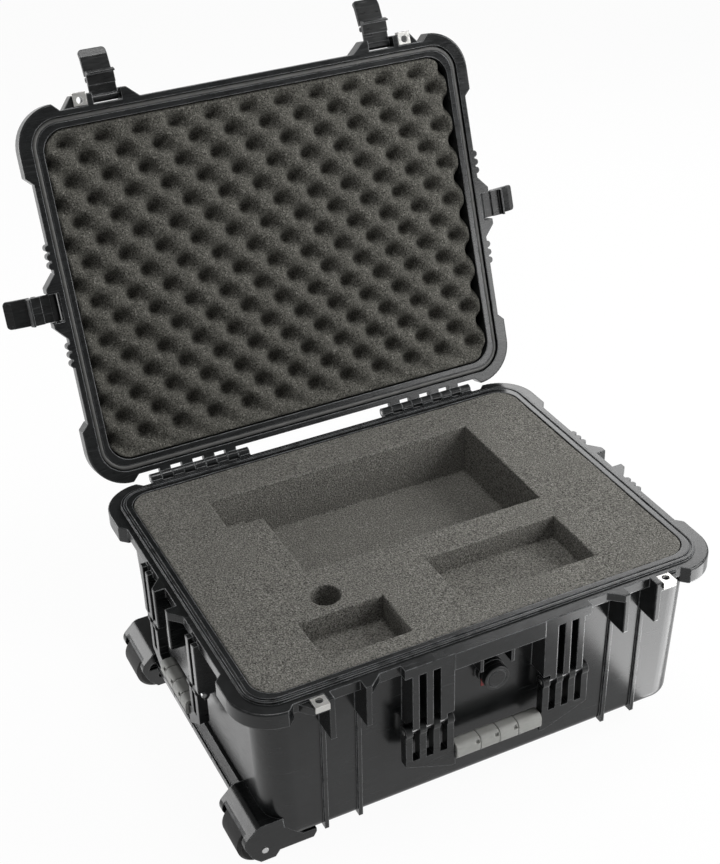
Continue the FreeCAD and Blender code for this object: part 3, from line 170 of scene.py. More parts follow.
def makeMouldGrain(skin):
    # fine pebble from rounded cells and noise, with a slow mottle for colour and gloss
    tree, source, sink = newGroup(
        "mouldGrain",
        [("Grain Scale", "NodeSocketFloat", 900.0), ("Mottle Scale", "NodeSocketFloat", 14.0)],
        [("Height", "NodeSocketFloat"), ("Mottle", "NodeSocketFloat")])
    place = addNode(tree, "ShaderNodeTexCoord")
    pebble = addNode(tree, "ShaderNodeTexVoronoi", feature="SMOOTH_F1")
    fine = addNoise(tree, skin["fineDetail"], skin["noiseRough"])
    slow = addNoise(tree, skin["slowDetail"], skin["noiseRough"])
    for texture, scale in ((pebble, "Grain Scale"), (fine, "Grain Scale"), (slow, "Mottle Scale")):
        tree.links.new(place.outputs["Object"], texture.inputs["Vector"])
        tree.links.new(source[scale], texture.inputs["Scale"])
    height = weighted(
        tree, pebble.outputs["Distance"], skin["pebbleShare"], fine.outputs["Fac"], skin["fineShare"])
    tree.links.new(height, sink["Height"])
    tree.links.new(rampBetween(tree, slow.outputs["Fac"], skin["mottleRamp"]), sink["Mottle"])
    return tree


scuffing = {"turns": ((0.3, 0.5, 0.9), (1.1, -0.4, -0.6)), "stretch": (1.0, 16.0, 16.0), "detail": 2.0,
            "rough": 0.5, "peakRamp": (0.66, 0.74)}


def makeScuffMarks(marking):
    # thin marks: two stretched noises crossing, kept only at their peaks
    tree, source, sink = newGroup(
        "scuffMarks", [("Scale", "NodeSocketFloat", 20.0)], [("Scuff", "NodeSocketFloat")])
    place = addNode(tree, "ShaderNodeTexCoord")
    marks = []
    for turn in marking["turns"]:
        lean = addNode(tree, "ShaderNodeMapping", {"Rotation": turn, "Scale": marking["stretch"]})
        noise = addNoise(tree, marking["detail"], marking["rough"])
        tree.links.new(place.outputs["Object"], lean.inputs["Vector"])
        tree.links.new(lean.outputs["Vector"], noise.inputs["Vector"])
        tree.links.new(source["Scale"], noise.inputs["Scale"])
        marks.append(rampBetween(tree, noise.outputs["Fac"], marking["peakRamp"]))
    tree.links.new(mathStep(tree, "MAXIMUM", *marks), sink["Scuff"])
    return tree


openCells = {"grainDetail": 3.0, "grainRough": 0.72, "cloudDetail": 4.0, "cloudRough": 0.55,
             "speckleRamp": (0.34, 0.66), "glintRamp": (0.86, 1.0), "cloudRamp": (0.3, 0.7)}


def makeFoamCells(foam):
    # open cells: fine noise for the speckle, small cells for the pits and for a painted glint on a few cell
    # walls
    tree, source, sink = newGroup(
        "foamCells",
        [("Cell Scale", "NodeSocketFloat", 500.0), ("Cloud Scale", "NodeSocketFloat", 22.0)],
        [("Speckle", "NodeSocketFloat"), ("Glint", "NodeSocketFloat"), ("Cloud", "NodeSocketFloat"),
         ("Height", "NodeSocketFloat")])
    place = addNode(tree, "ShaderNodeTexCoord")
    grain = addNoise(tree, foam["grainDetail"], foam["grainRough"])
    cells = addNode(tree, "ShaderNodeTexVoronoi", feature="F1")
    cloud = addNoise(tree, foam["cloudDetail"], foam["cloudRough"])
    for texture, scale in ((grain, "Cell Scale"), (cells, "Cell Scale"), (cloud, "Cloud Scale")):
        tree.links.new(place.outputs["Object"], texture.inputs["Vector"])
        tree.links.new(source[scale], texture.inputs["Scale"])
    shade = addNode(tree, "ShaderNodeSeparateColor")
    tree.links.new(cells.outputs["Color"], shade.inputs["Color"])
    tree.links.new(rampBetween(tree, grain.outputs["Fac"], foam["speckleRamp"]), sink["Speckle"])
    tree.links.new(rampBetween(tree, shade.outputs["Red"], foam["glintRamp"]), sink["Glint"])
    tree.links.new(rampBetween(tree, cloud.outputs["Fac"], foam["cloudRamp"]), sink["Cloud"])
    tree.links.new(mathStep(tree, "ADD", cells.outputs["Distance"], grain.outputs["Fac"]), sink["Height"])
    return tree


streaking = {"detail": 3.0, "rough": 0.6, "streakRamp": (0.3, 0.7)}


def makeBrushedLines(lines):
    # fine streaks: noise on multiplied coordinates, long where the factor is least
    tree, source, sink = newGroup(
        "brushedLines",
        [("Scale", "NodeSocketFloat", 60.0), ("Stretch", "NodeSocketVector", (1.0, 40.0, 40.0))],
        [("Streak", "NodeSocketFloat")])
    place = addNode(tree, "ShaderNodeTexCoord")
    pull = addNode(tree, "ShaderNodeVectorMath", operation="MULTIPLY")
    noise = addNoise(tree, lines["detail"], lines["rough"])
    tree.links.new(place.outputs["Object"], pull.inputs[0])
    tree.links.new(source["Stretch"], pull.inputs[1])
    tree.links.new(pull.outputs["Vector"], noise.inputs["Vector"])
    tree.links.new(source["Scale"], noise.inputs["Scale"])
    tree.links.new(rampBetween(tree, noise.outputs["Fac"], lines["streakRamp"]), sink["Streak"])
    return tree


edgeWearAndHighlight = makeEdgeWearAndHighlight(edgeWearAndHighlightSettings)
mouldGrain = makeMouldGrain(pebbleSkin)
scuffMarks = makeScuffMarks(scuffing)
foamCells = makeFoamCells(openCells)
brushedLines = makeBrushedLines(streaking)
print("shared effects: 5 node groups")


# finishes

def newFinish(name):
    finish = bpy.data.materials.new(name)
    finish.use_nodes = True
    tree = finish.node_tree
    tree.nodes.clear()
    surface = addNode(tree, "ShaderNodeBsdfPrincipled")
    tree.links.new(surface.outputs["BSDF"], addNode(tree, "ShaderNodeOutputMaterial").inputs["Surface"])
    return finish, tree, surface.inputs


def bumpInto(tree, surface, height, distance, normal=None):
    bump = addNode(tree, "ShaderNodeBump", {"Distance": distance, "Strength": 1.0})
    tree.links.new(height, bump.inputs["Height"])
    if normal is not None:
        tree.links.new(normal, bump.inputs["Normal"])
    tree.links.new(bump.outputs["Normal"], surface["Normal"])


def mouldedPlastic(name, look):
    finish, tree, surface = newFinish(name)
    grain = placeGroup(
        tree, mouldGrain, {"Grain Scale": look["grainScale"], "Mottle Scale": look["mottleScale"]})
    edges = placeGroup(tree, edgeWearAndHighlight, {"Radius": look["cornerRadius"], "Gain": look["wearAndHighlightGain"]})
    scuffs = placeGroup(tree, scuffMarks, {"Scale": look["scuffScale"]})
    flow = placeGroup(tree, brushedLines, {"Scale": look["flowScale"], "Stretch": look["flowStretch"]})
    tone = weighted(tree, grain["Mottle"], look["mottleShare"], flow["Streak"], look["flowShare"])
    body = mixColour(tree, tone, look["dark"], look["light"])
    scuffed = mathStep(tree, "MULTIPLY", scuffs["Scuff"], look["scuffDepth"])
    wornAndHighlighted = mathStep(tree, "MULTIPLY", edges["Wear And Highlight"], look["wearAndHighlightDepth"])
    marksAndHighlight = mathStep(tree, "MAXIMUM", scuffed, wornAndHighlighted, clamp=True)
    # scuffs are wear; the edge mask lightens the edges as wear and as a painted highlight
    tree.links.new(mixColour(tree, marksAndHighlight, body, look["wornAndHighlight"]), surface["Base Color"])
    gloss = spread(tree, tone, look["roughLow"], look["roughHigh"])
    dulled = mathStep(tree, "MULTIPLY", marksAndHighlight, look["wornRough"])
    tree.links.new(mathStep(tree, "ADD", gloss, dulled), surface["Roughness"])
    surface["IOR"].default_value = look["ior"]
    bumpInto(tree, surface, grain["Height"], look["grainDepth"], edges["Corner Normal"])
    return finish


def metalFinish(name, look):
    finish, tree, surface = newFinish(name)
    lines = placeGroup(tree, brushedLines, {"Scale": look["lineScale"], "Stretch": look["stretch"]})
    edges = placeGroup(tree, edgeWearAndHighlight, {"Radius": look["cornerRadius"], "Gain": look["wearAndHighlightGain"]})
    colour = mixColour(tree, lines["Streak"], look["dark"], look["light"])
    # the edge mask lightens the edges as wear and as a painted highlight
    tree.links.new(mixColour(tree, edges["Wear And Highlight"], colour, look["wornAndHighlight"]), surface["Base Color"])
    tree.links.new(spread(tree, lines["Streak"], look["roughLow"], look["roughHigh"]), surface["Roughness"])
    surface["Metallic"].default_value = 1.0
    bumpInto(tree, surface, lines["Streak"], look["lineDepth"], edges["Corner Normal"])
    return finish


def foamFinish(name, look):
    finish, tree, surface = newFinish(name)
    cells = placeGroup(tree, foamCells, {"Cell Scale": look["cellScale"], "Cloud Scale": look["cloudScale"]})
    grained = mixColour(tree, cells["Speckle"], look["dark"], look["light"])
    shaded = mathStep(tree, "MULTIPLY", cells["Cloud"], look["cloudDepth"])
    clouded = mixColour(tree, shaded, grained, look["dark"])
    # a painted highlight: a few cell walls are lightened to the glint colour
    bright = mathStep(tree, "MULTIPLY", cells["Glint"], look["glintDepth"])
    tree.links.new(mixColour(tree, bright, clouded, look["glint"]), surface["Base Color"])
    tree.links.new(spread(tree, cells["Speckle"], look["pitRough"], look["wallRough"]), surface["Roughness"])
    surface["Specular IOR Level"].default_value = look["specular"]
    bumpInto(tree, surface, cells["Height"], look["cellDepth"])
    return finish


# looks: lengths in metres, scales per metre, colours linear
# the worn colour lightens scuffs and edges: wear, and on the edges also a painted highlight
shellLook = {
    "dark": (0.003, 0.0034, 0.0036, 1), "light": (0.017, 0.0182, 0.0188, 1), "wornAndHighlight": (0.24, 0.246, 0.252, 1),
    "grainScale": 850.0, "grainDepth": 0.00003, "mottleScale": 16.0, "mottleShare": 0.45,
    "flowScale": 70.0, "flowStretch": (1.0, 1.0, 6.0), "flowShare": 0.55,
    "cornerRadius": 0.0019, "wearAndHighlightGain": 7.0, "wearAndHighlightDepth": 0.85, "scuffScale": 14.0, "scuffDepth": 0.05,
    "roughLow": 0.16, "roughHigh": 0.28, "wornRough": 0.12, "ior": 1.4}
fittingLook = dict(
    shellLook, dark=(0.003, 0.0033, 0.0034, 1), light=(0.02, 0.021, 0.0212, 1),
    grainScale=1400.0, grainDepth=0.00005, cornerRadius=0.0014, wearAndHighlightDepth=0.75, scuffScale=26.0,
    scuffDepth=0.2, roughLow=0.22, roughHigh=0.4, ior=1.38)
gripLook = dict(
    shellLook, dark=(0.3, 0.302, 0.286, 1), light=(0.41, 0.412, 0.392, 1), wornAndHighlight=(0.42, 0.42, 0.405, 1),
    grainScale=1100.0, grainDepth=0.0001, mottleScale=40.0, wearAndHighlightDepth=0.4, roughLow=0.48, roughHigh=0.6)
hubLook = dict(
    shellLook, dark=(0.05, 0.052, 0.054, 1), light=(0.075, 0.077, 0.08, 1), wornAndHighlight=grey(0.14), mottleScale=60.0)
tyreLook = dict(
    shellLook, dark=(0.012, 0.012, 0.0125, 1), light=(0.024, 0.0235, 0.023, 1), wornAndHighlight=(0.09, 0.086, 0.08, 1),
    grainScale=600.0, grainDepth=0.00018, wearAndHighlightDepth=0.7, scuffDepth=0.4, roughLow=0.62, roughHigh=0.78)
gasketLook = dict(
    shellLook, dark=(0.07, 0.07, 0.068, 1), light=(0.12, 0.12, 0.116, 1), wornAndHighlight=(0.17, 0.17, 0.165, 1),
    grainScale=1800.0, grainDepth=0.00005, mottleScale=50.0, wearAndHighlightDepth=0.2, roughLow=0.34, roughHigh=0.46)
sealLook = dict(
    shellLook, dark=(0.2, 0.014, 0.014, 1), light=(0.3, 0.024, 0.022, 1), wornAndHighlight=(0.42, 0.08, 0.07, 1),
    grainScale=1500.0, grainDepth=0.00005, mottleScale=80.0, roughLow=0.35, roughHigh=0.5)
plateLook = {
    "dark": (0.42, 0.415, 0.4, 1), "light": (0.6, 0.592, 0.57, 1), "wornAndHighlight": (0.8, 0.79, 0.77, 1),
    "lineScale": 90.0, "stretch": (1.0, 30.0, 30.0), "lineDepth": 0.00003, "cornerRadius": 0.0005,
    "wearAndHighlightGain": 3.0, "roughLow": 0.28, "roughHigh": 0.42}
pinLook = dict(
    plateLook, dark=grey(0.36), light=grey(0.6), stretch=(30.0, 30.0, 1.0), roughLow=0.2, roughHigh=0.34)
railLook = dict(
    plateLook, dark=(0.5, 0.505, 0.51, 1), light=(0.66, 0.665, 0.67, 1), roughLow=0.3, roughHigh=0.45)
# the glint colour is a painted highlight on a few cell walls
baseFoamLook = {
    "dark": (0.018, 0.0172, 0.0152, 1), "light": (0.255, 0.248, 0.225, 1), "glint": (0.4, 0.39, 0.37, 1),
    "cellScale": 540.0, "cellDepth": 0.0006, "cloudScale": 24.0, "cloudDepth": 0.12, "glintDepth": 0.32,
    "pitRough": 1.0, "wallRough": 0.86, "specular": 0.2}
lidFoamLook = dict(
    baseFoamLook, dark=(0.01, 0.0097, 0.008, 1), light=(0.152, 0.148, 0.13, 1), glint=(0.34, 0.33, 0.3, 1),
    glintDepth=0.38)

slotFinish = {
    "shell_black": mouldedPlastic("shellBlack", shellLook),
    "fitting_black": mouldedPlastic("fittingBlack", fittingLook),
    "grip_grey": mouldedPlastic("gripGrey", gripLook),
    "hub_grey": mouldedPlastic("hubGrey", hubLook),
    "tyre": mouldedPlastic("tyreRubber", tyreLook),
    "gasket": mouldedPlastic("gasketRubber", gasketLook),
    "seal_red": mouldedPlastic("sealRed", sealLook),
    "plate_steel": metalFinish("plateSteel", plateLook),
    "pin_steel": metalFinish("pinSteel", pinLook),
    "rail_aluminium": metalFinish("railAluminium", railLook),
    "foam": foamFinish("baseFoam", baseFoamLook)}
lidFoamFinish = foamFinish("lidFoam", lidFoamLook)

for name, node in nodes.items():
    node.data.materials.clear()
    node.data.materials.append(slotFinish[slotOf[name]])
print("finishes: %d on the CAD nodes" % len(slotFinish))


# mesh helpers

meshRule = {"crease": 42.0, "cornerLines": 10, "clearShare": 0.45}   # crease in degrees


def addPiece(name, points, quads, finish, body):
    mesh = bpy.data.meshes.new(name)
    mesh.from_pydata(points.reshape(-1, 3).tolist(), [], quads.reshape(-1, 4).tolist())
    mesh.polygons.foreach_set("use_smooth", np.ones(len(mesh.polygons), bool))
    mesh.set_sharp_from_angle(angle=math.radians(meshRule["crease"]))
    mesh.materials.append(finish)
    obj = bpy.data.objects.new(name, mesh)
    bpy.context.scene.collection.objects.link(obj)
    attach(obj, body)
    return obj


def widthLeft(y, pad):
    # half the width of a rounded rectangle at each y: full, then drawn in along the corner's circle
    corner = pad["corner"]
    over = np.clip(np.abs(y) - (pad["halfY"] - corner), 0, corner)
    return pad["halfX"] - corner + np.sqrt(np.maximum(corner ** 2 - over ** 2, 0))


def drawnIn(x, limit, pad):
    # x as it is up to the pad's edge strip, which is squeezed so that it ends on the limit
    keep = pad["halfX"] - pad["edgeStrip"]
    outer = np.maximum(np.abs(x) - keep, 0) * (limit - keep) / (pad["halfX"] - keep)
    return np.sign(x) * (np.minimum(np.abs(x), keep) + outer)


def lineSet(half, pad, edges=(), offsets=(0.0,)):
    # even lines, with extra ones beside each edge, that close up at the ends as a circle's sine does
    flat = half - pad["corner"]
    close = (np.asarray(edges, float)[:, None] + np.asarray(offsets, float)[None, :]).ravel()
    even = np.linspace(-flat, flat, int(round(2 * flat / pad["step"])) + 1)
    if close.size:
        apart = np.abs(even[:, None] - close[None, :]).min(1)
        even = even[apart > meshRule["clearShare"] * pad["step"]]
    ends = flat + pad["corner"] * np.sin(np.linspace(0, quarterTurn, meshRule["cornerLines"]))[1:]
    return np.unique(np.concatenate([-ends, even, close, ends]))


def closedPad(top, bottom):
    # two sheets of the same grid, joined all round their edges by one strip
    rows, columns = top.shape[:2]
    below = rows * columns
    index = np.arange(below).reshape(rows, columns)
    face = np.stack([index[:-1, :-1], index[:-1, 1:], index[1:, 1:], index[1:, :-1]], -1).reshape(-1, 4)
    rim = np.concatenate([index[0, :-1], index[:-1, -1], index[-1, :0:-1], index[:0:-1, 0]])
    nextRim = np.roll(rim, -1)
    side = np.stack([rim + below, nextRim + below, nextRim, rim], -1)
    points = np.concatenate([top.reshape(-1, 3), bottom.reshape(-1, 3)])
    return points, np.concatenate([face, face[:, ::-1] + below, side])


def quarterDrop(distance, radius):
    # how far a rounded edge has dropped at a distance from it: a quarter circle
    near = np.clip(1 - distance / radius, 0, 1)
    return radius * (1 - np.sqrt(np.maximum(1 - near ** 2, 0)))


def openLid(points):
    # turns points of the closed lid back about the hinge line, which runs along x
    hinge = jointOf["lid_hinge"]
    turn = math.radians(-hinge["range_deg"][1])
    hingeY, hingeZ = hinge["pos_m"][1:]
    y = points[..., 1] - hingeY
    z = points[..., 2] - hingeZ
    swungY = hingeY + y * math.cos(turn) - z * math.sin(turn)
    swungZ = hingeZ + y * math.sin(turn) + z * math.cos(turn)
    return np.stack([points[..., 0], swungY, swungZ], -1)


# the lid's egg-crate pad

lidPad = {"halfX": 0.2748, "halfY": 0.2088, "corner": 0.029, "face": 0.2236, "back": 0.2662, "draft": 0.0034,
          "pitchX": 0.048, "pitchY": 0.05, "valleyX": -0.0104, "valleyY": 0.006, "depth": 0.023, "sharp": 2.0,
          "step": 0.0032, "edgeStrip": 0.05, "softEdge": 0.004, "calm": 0.022, "fill": 0.7}


def makeLidPad(pad):
    x, y = np.meshgrid(lineSet(pad["halfX"], pad), lineSet(pad["halfY"], pad))
    limit = widthLeft(y, pad)
    x = drawnIn(x, limit, pad)
    # egg-crate: the product of a cosine along each side, to a power that makes the hollows narrower
    waveX = np.cos(fullTurn * (x - pad["valleyX"]) / pad["pitchX"])
    waveY = np.cos(fullTurn * (y - pad["valleyY"]) / pad["pitchY"])
    # the front and hinge edges are left straight: the hollows fade there in a smooth step
    calm = np.clip((pad["halfY"] - np.abs(y)) / pad["calm"], 0, 1)
    hollow = pad["depth"] * (0.5 + 0.5 * waveX * waveY) ** pad["sharp"] * calm ** 2 * (3 - 2 * calm)
    inside = np.minimum(limit - np.abs(x), pad["halfY"] - np.abs(y))
    z = pad["face"] + hollow + quarterDrop(inside, pad["softEdge"])
    slim = 1 - pad["draft"] / pad["halfX"]
    face = np.stack([x, y, z], -1)
    back = np.stack([x * slim, y * slim, np.full_like(x, pad["back"])], -1)
    points, quads = closedPad(back, face)   # the back is the upper sheet while the lid is shut
    obj = addPiece("lidFoamPad", openLid(points), quads, lidFoamFinish, "lid")
    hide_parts("lid_foam")


makeLidPad(lidPad)
print("lid pad: egg-crate face")


# the base's cut foam

basePad = {"halfX": 0.2757, "halfY": 0.2097, "corner": 0.029, "top": 0.2218, "bottom": 0.0058, "draft": 0.0068,
           "step": 0.0065, "edgeStrip": 0.06, "wall": 0.00015, "softEdge": 0.0022, "floorRound": 0.0025,
           "lipShares": (0.12, 0.3, 0.6, 1.0, 2.0), "roundReachShare": 1.75, "roundFadeShare": 0.6,
           "sway": 0.00022, "swayX": (31, 3, 17, 0.0), "swayY": (27, 2, 23, 1.3),
           "cornerFoot": 0.23, "cornerSlope": 0.9, "fill": 0.85}
# each pocket: its span along x, its span along y and its depth
pockets = {"main": ((-0.142, 0.177), (-0.034, 0.152), 0.07),
           "step": ((-0.188, -0.142), (0.09, 0.152), 0.045),
           "block": ((-0.188, -0.083), (-0.186, -0.116), 0.032),
           "tray": ((-0.006, 0.17), (-0.166, -0.078), 0.03),
           "round": ((-0.158, -0.122), (-0.102, -0.066), 0.034)}
leastReach = 1e-9   # keeps a division clear of zero


def fromMiddle(x, y, pocket):
    (x0, x1), (y0, y1), _ = pocket
    return x - (x0 + x1) / 2, y - (y0 + y1) / 2, (x1 - x0) / 2, (y1 - y0) / 2


def slowWave(along, across, wave):
    # a sine along one side, whose phase is bent by a sine across it
    turns, bend, crossTurns, shift = wave
    return np.sin(turns * along + bend * np.sin(crossTurns * across + shift))


def cutPockets(x, y, pad):
    # each pocket is a drop between two lines set close together, and its floor ends in a quarter round
    depth = np.zeros_like(x)
    outside = np.ones_like(x)
    for pocket in pockets.values():
        dx, dy, halfX, halfY = fromMiddle(x, y, pocket)
        away = np.maximum(np.abs(dx) - halfX, np.abs(dy) - halfY)
        floor = pocket[2] - quarterDrop(np.maximum(-away, 0), pad["floorRound"])
        depth = np.where(away < 0, np.maximum(depth, floor), depth)
        outside = np.minimum(outside, np.maximum(away, 0))
    return depth, outside


def roundedPocket(x, y, pad):
    # square rings about the round pocket's middle are drawn into circles, fading out to the lines around it
    dx, dy, half, _ = fromMiddle(x, y, pockets["round"])
    ring = np.maximum(np.abs(dx), np.abs(dy))
    reach = np.maximum(np.hypot(dx, dy), leastReach)
    fade = np.clip((pad["roundReachShare"] * half - ring) / (pad["roundFadeShare"] * half), 0, 1)
    pull = ring / reach - 1
    return x + fade * dx * pull, y + fade * dy * pull


def makeBasePad(pad):
    soft = pad["softEdge"]
    beside = [pad["wall"]] + [share * soft for share in pad["lipShares"]]
    offsets = [-offset for offset in beside] + beside
    xEdges = sorted({edge for pocket in pockets.values() for edge in pocket[0]})
    yEdges = sorted({edge for pocket in pockets.values() for edge in pocket[1]})
    xLines = lineSet(pad["halfX"], pad, xEdges, offsets)
    yLines = lineSet(pad["halfY"], pad, yEdges, offsets)
    x, y = np.meshgrid(xLines, yLines)
    depth, outside = cutPockets(x, y, pad)
    sway = pad["sway"] * (slowWave(x, y, pad["swayX"]) + slowWave(y, x, pad["swayY"]))
    # the face sways slightly, and drops in a quarter round at each pocket's lip
    swayed = np.where(outside > 0, sway - quarterDrop(outside, soft), 0)
    x, y = roundedPocket(x, y, pad)
    limit = widthLeft(y, pad)
    x = drawnIn(x, limit, pad)
    rimAway = np.minimum(limit - np.abs(x), pad["halfY"] - np.abs(y))
    z = pad["top"] - depth - quarterDrop(rimAway, soft) + swayed
    slim = 1 - pad["draft"] / pad["halfX"]
    heel = np.maximum(-x * slim - pad["cornerFoot"], 0) * pad["cornerSlope"]   # the slope over the wheels
    face = np.stack([x, y, z], -1)
    under = np.stack([x * slim, y * slim, pad["bottom"] + heel], -1)
    points, quads = closedPad(face, under)
    obj = addPiece("baseFoamPad", points, quads, slotFinish["foam"], "base")
    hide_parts("base_foam")


makeBasePad(basePad)
print("base pad: %d pockets" % len(pockets))


# the lid's seal

sealBead = {"halfX": 0.2962, "halfY": 0.2302, "corner": 0.0417, "inset": 0.01025, "width": 0.0058,
            "low": 0.2224, "high": 0.2284, "squareness": 0.7, "perCorner": 14, "perSide": 30, "round": 20}
rimCorners = ((1, 1), (-1, 1), (-1, -1), (1, -1))


def squaredOff(wave, power):
    # a wave's sign times its size to a power under one, which fills an oval out towards a square
    return np.sign(wave) * np.abs(wave) ** power


def sealPath(bead):
    # the rim's rounded rectangle drawn in by the inset: a quarter circle, then a straight, at each corner
    turn = np.linspace(0, quarterTurn, bead["perCorner"], endpoint=False)
    share = np.linspace(0, 1, bead["perSide"], endpoint=False)
    radius = bead["corner"] - bead["inset"]
    alongX = bead["halfX"] - bead["corner"]
    alongY = bead["halfY"] - bead["corner"]
    pathX, pathY, heading = [], [], []
    for quarter, (sideX, sideY) in enumerate(rimCorners):
        nextX, nextY = rimCorners[(quarter + 1) % len(rimCorners)]
        angle = turn + quarter * quarterTurn
        end = (quarter + 1) * quarterTurn
        straightX = (sideX + (nextX - sideX) * share) * alongX
        straightY = (sideY + (nextY - sideY) * share) * alongY
        pathX += [sideX * alongX + radius * np.cos(angle), straightX + radius * math.cos(end)]
        pathY += [sideY * alongY + radius * np.sin(angle), straightY + radius * math.sin(end)]
        heading += [angle, np.full(bead["perSide"], end)]
    return np.concatenate(pathX), np.concatenate(pathY), np.concatenate(heading)


def makeSealBead(bead):
    # section: a squared-off oval, carried round the path and turned to face out of it
    pathX, pathY, heading = sealPath(bead)
    loop = np.linspace(0, fullTurn, bead["round"], endpoint=False)
    out = bead["width"] / 2 * squaredOff(np.cos(loop), bead["squareness"])
    middle = (bead["low"] + bead["high"]) / 2
    rise = middle + (bead["high"] - bead["low"]) / 2 * squaredOff(np.sin(loop), bead["squareness"])
    x = pathX[:, None] + np.cos(heading)[:, None] * out
    y = pathY[:, None] + np.sin(heading)[:, None] * out
    points = np.stack([x, y, np.broadcast_to(rise, x.shape)], -1)
    index = np.arange(x.size).reshape(x.shape)
    ahead = np.roll(index, -1, 0)
    quads = np.stack([index, ahead, np.roll(ahead, -1, 1), np.roll(index, -1, 1)], -1)
    obj = addPiece("lidSealBead", openLid(points), quads, slotFinish["gasket"], "lid")
    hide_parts("lid_gasket")


makeSealBead(sealBead)
print("lid seal: bead laid")


# stage, light and camera

stageLook = {"floor": -0.032, "size": 9.0, "paint": grey(0.86), "white": 0.96, "ambient": 0.2, "ceiling": 0.3,
             "ceilingRamp": (0.1, 0.5), "openSide": 0.25, "wallRamp": (-0.65, 0.05)}


def mirrorRays(tree):
    # which rays find the surroundings in a reflection or through glass, and which see them at all
    ray = addNode(tree, "ShaderNodeLightPath")
    mirrored = mathStep(tree, "MAXIMUM", ray.outputs["Is Glossy Ray"], ray.outputs["Is Transmission Ray"])
    return mirrored, mathStep(tree, "MAXIMUM", ray.outputs["Is Camera Ray"], mirrored)


def floorPaint(look):
    # matte for the light, and nearly plain white for what sees it
    paint = bpy.data.materials.new("floorPaint")
    paint.use_nodes = True
    tree = paint.node_tree
    tree.nodes.clear()
    matte = addNode(tree, "ShaderNodeBsdfDiffuse", {"Color": look["paint"]})
    glow = addNode(tree, "ShaderNodeEmission", {"Color": white, "Strength": 1.0})
    seen = mirrorRays(tree)[1]
    both = addNode(tree, "ShaderNodeMixShader")
    tree.links.new(mathStep(tree, "MULTIPLY", seen, look["white"]), both.inputs[0])
    tree.links.new(matte.outputs[0], both.inputs[1])
    tree.links.new(glow.outputs[0], both.inputs[2])
    tree.links.new(both.outputs[0], addNode(tree, "ShaderNodeOutputMaterial").inputs["Surface"])
    return paint


def makeFloor(look):
    size, level = look["size"], look["floor"]
    corners = [(-size, -size, level), (size, -size, level), (size, size, level), (-size, size, level)]
    mesh = bpy.data.meshes.new("studioFloor")
    mesh.from_pydata(corners, [], [(0, 1, 2, 3)])
    mesh.materials.append(floorPaint(look))
    floor = bpy.data.objects.new("studioFloor", mesh)
    bpy.context.scene.collection.objects.link(floor)


def makeAir(look):
    world = bpy.data.worlds.new("studioAir")
    bpy.context.scene.world = world
    world.use_nodes = True
    tree = world.node_tree
    tree.nodes.clear()
    mirrored, seen = mirrorRays(tree)
    place = addNode(tree, "ShaderNodeTexCoord")
    split = addNode(tree, "ShaderNodeSeparateXYZ")
    tree.links.new(place.outputs["Generated"], split.inputs["Vector"])
    air = addNode(tree, "ShaderNodeBackground")
    # reflections find white walls behind and beside, a dim ceiling, and a dim room in front
    backed = rampBetween(tree, split.outputs["Y"], look["wallRamp"])
    walls = mixColour(tree, backed, grey(look["openSide"]), white)
    raised = rampBetween(tree, split.outputs["Z"], look["ceilingRamp"])
    sky = mixColour(tree, raised, walls, grey(look["ceiling"]))
    tree.links.new(mixColour(tree, mirrored, white, sky), air.inputs["Color"])
    tree.links.new(spread(tree, seen, look["ambient"], 1.0), air.inputs["Strength"])
    tree.links.new(air.outputs[0], addNode(tree, "ShaderNodeOutputWorld").inputs["Surface"])


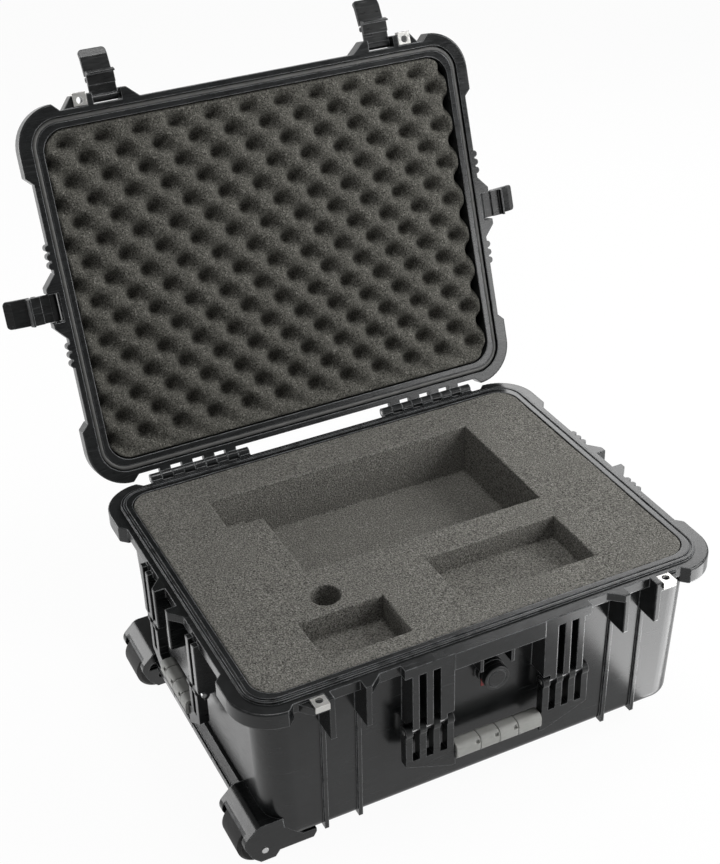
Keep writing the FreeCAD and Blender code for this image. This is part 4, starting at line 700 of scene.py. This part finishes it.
# softboxes: places and sizes in metres, power in watts, spread in degrees
lamps = {
    "key": {"at": (1.45, -0.5, 1.3), "toward": (0.05, 0.1, 0.3), "size": (0.8, 0.8), "power": 20.0,
            "spread": 180.0},
    "frontFill": {"at": (1.2, -1.3, 0.5), "toward": (0.05, -0.1, 0.2), "size": (0.8, 0.5), "power": 10.0,
                  "spread": 180.0},
    "overhead": {"at": (0.15, 0.1, 2.3), "toward": (0.0, 0.0, 0.2), "size": (0.7, 0.5), "power": 16.0,
                 "spread": 180.0},
    "backRight": {"at": (1.35, 1.35, 1.25), "toward": (0.28, 0.0, 0.22), "size": (1.0, 0.8), "power": 14.0,
                  "spread": 180.0},
    "backLeft": {"at": (-1.3, 1.2, 0.35), "toward": (-0.28, 0.0, 0.1), "size": (1.0, 0.7), "power": 12.0,
                 "spread": 180.0},
    "floorBounce": {"at": (0.46, -0.4, -0.026), "toward": (0.46, -0.38, 1.0), "size": (0.42, 0.36),
                    "power": 2.6, "spread": 122.0},
    "floorBounceLeft": {"at": (-0.41, 0.16, -0.026), "toward": (-0.4, 0.16, 1.0), "size": (0.18, 0.56),
                        "power": 0.15, "spread": 180.0}}


def makeLamps():
    for name, lamp in lamps.items():
        light = bpy.data.lights.new(name + "Softbox", "AREA")
        light.shape = "RECTANGLE"
        light.size, light.size_y = lamp["size"]
        light.energy = lamp["power"]
        light.spread = math.radians(lamp["spread"])
        obj = bpy.data.objects.new(name + "Softbox", light)
        obj.location = lamp["at"]
        beam = Vector(lamp["toward"]) - Vector(lamp["at"])
        obj.rotation_euler = beam.to_track_quat("-Z", "Y").to_euler()
        obj.visible_camera = False
        bpy.context.scene.collection.objects.link(obj)


# place in metres, lens and sensor in millimetres
photoView = {"at": (-0.6988, -1.3672, 1.3262), "ahead": (0.36239, 0.76305, -0.53519),
             "right": (0.89535, -0.44451, -0.0275), "lens": 64.8, "sensor": 36.0, "farEnd": 60.0}


def makeCamera(view):
    lens = bpy.data.cameras.new("photoCamera")
    lens.lens = view["lens"]
    lens.sensor_width = view["sensor"]
    lens.clip_end = view["farEnd"]
    obj = bpy.data.objects.new("photoCamera", lens)
    ahead = Vector(view["ahead"]).normalized()
    right = Vector(view["right"]).normalized()
    up = (-ahead).cross(right)
    turn = Matrix((right, up, -ahead)).transposed()
    obj.matrix_world = Matrix.Translation(view["at"]) @ turn.to_4x4()
    bpy.context.scene.collection.objects.link(obj)
    bpy.context.scene.camera = obj


makeFloor(stageLook)
makeAir(stageLook)
makeLamps()
makeCamera(photoView)
bpy.context.scene.view_settings.view_transform = "Standard"
print("stage: floor, %d softboxes and camera" % len(lamps))
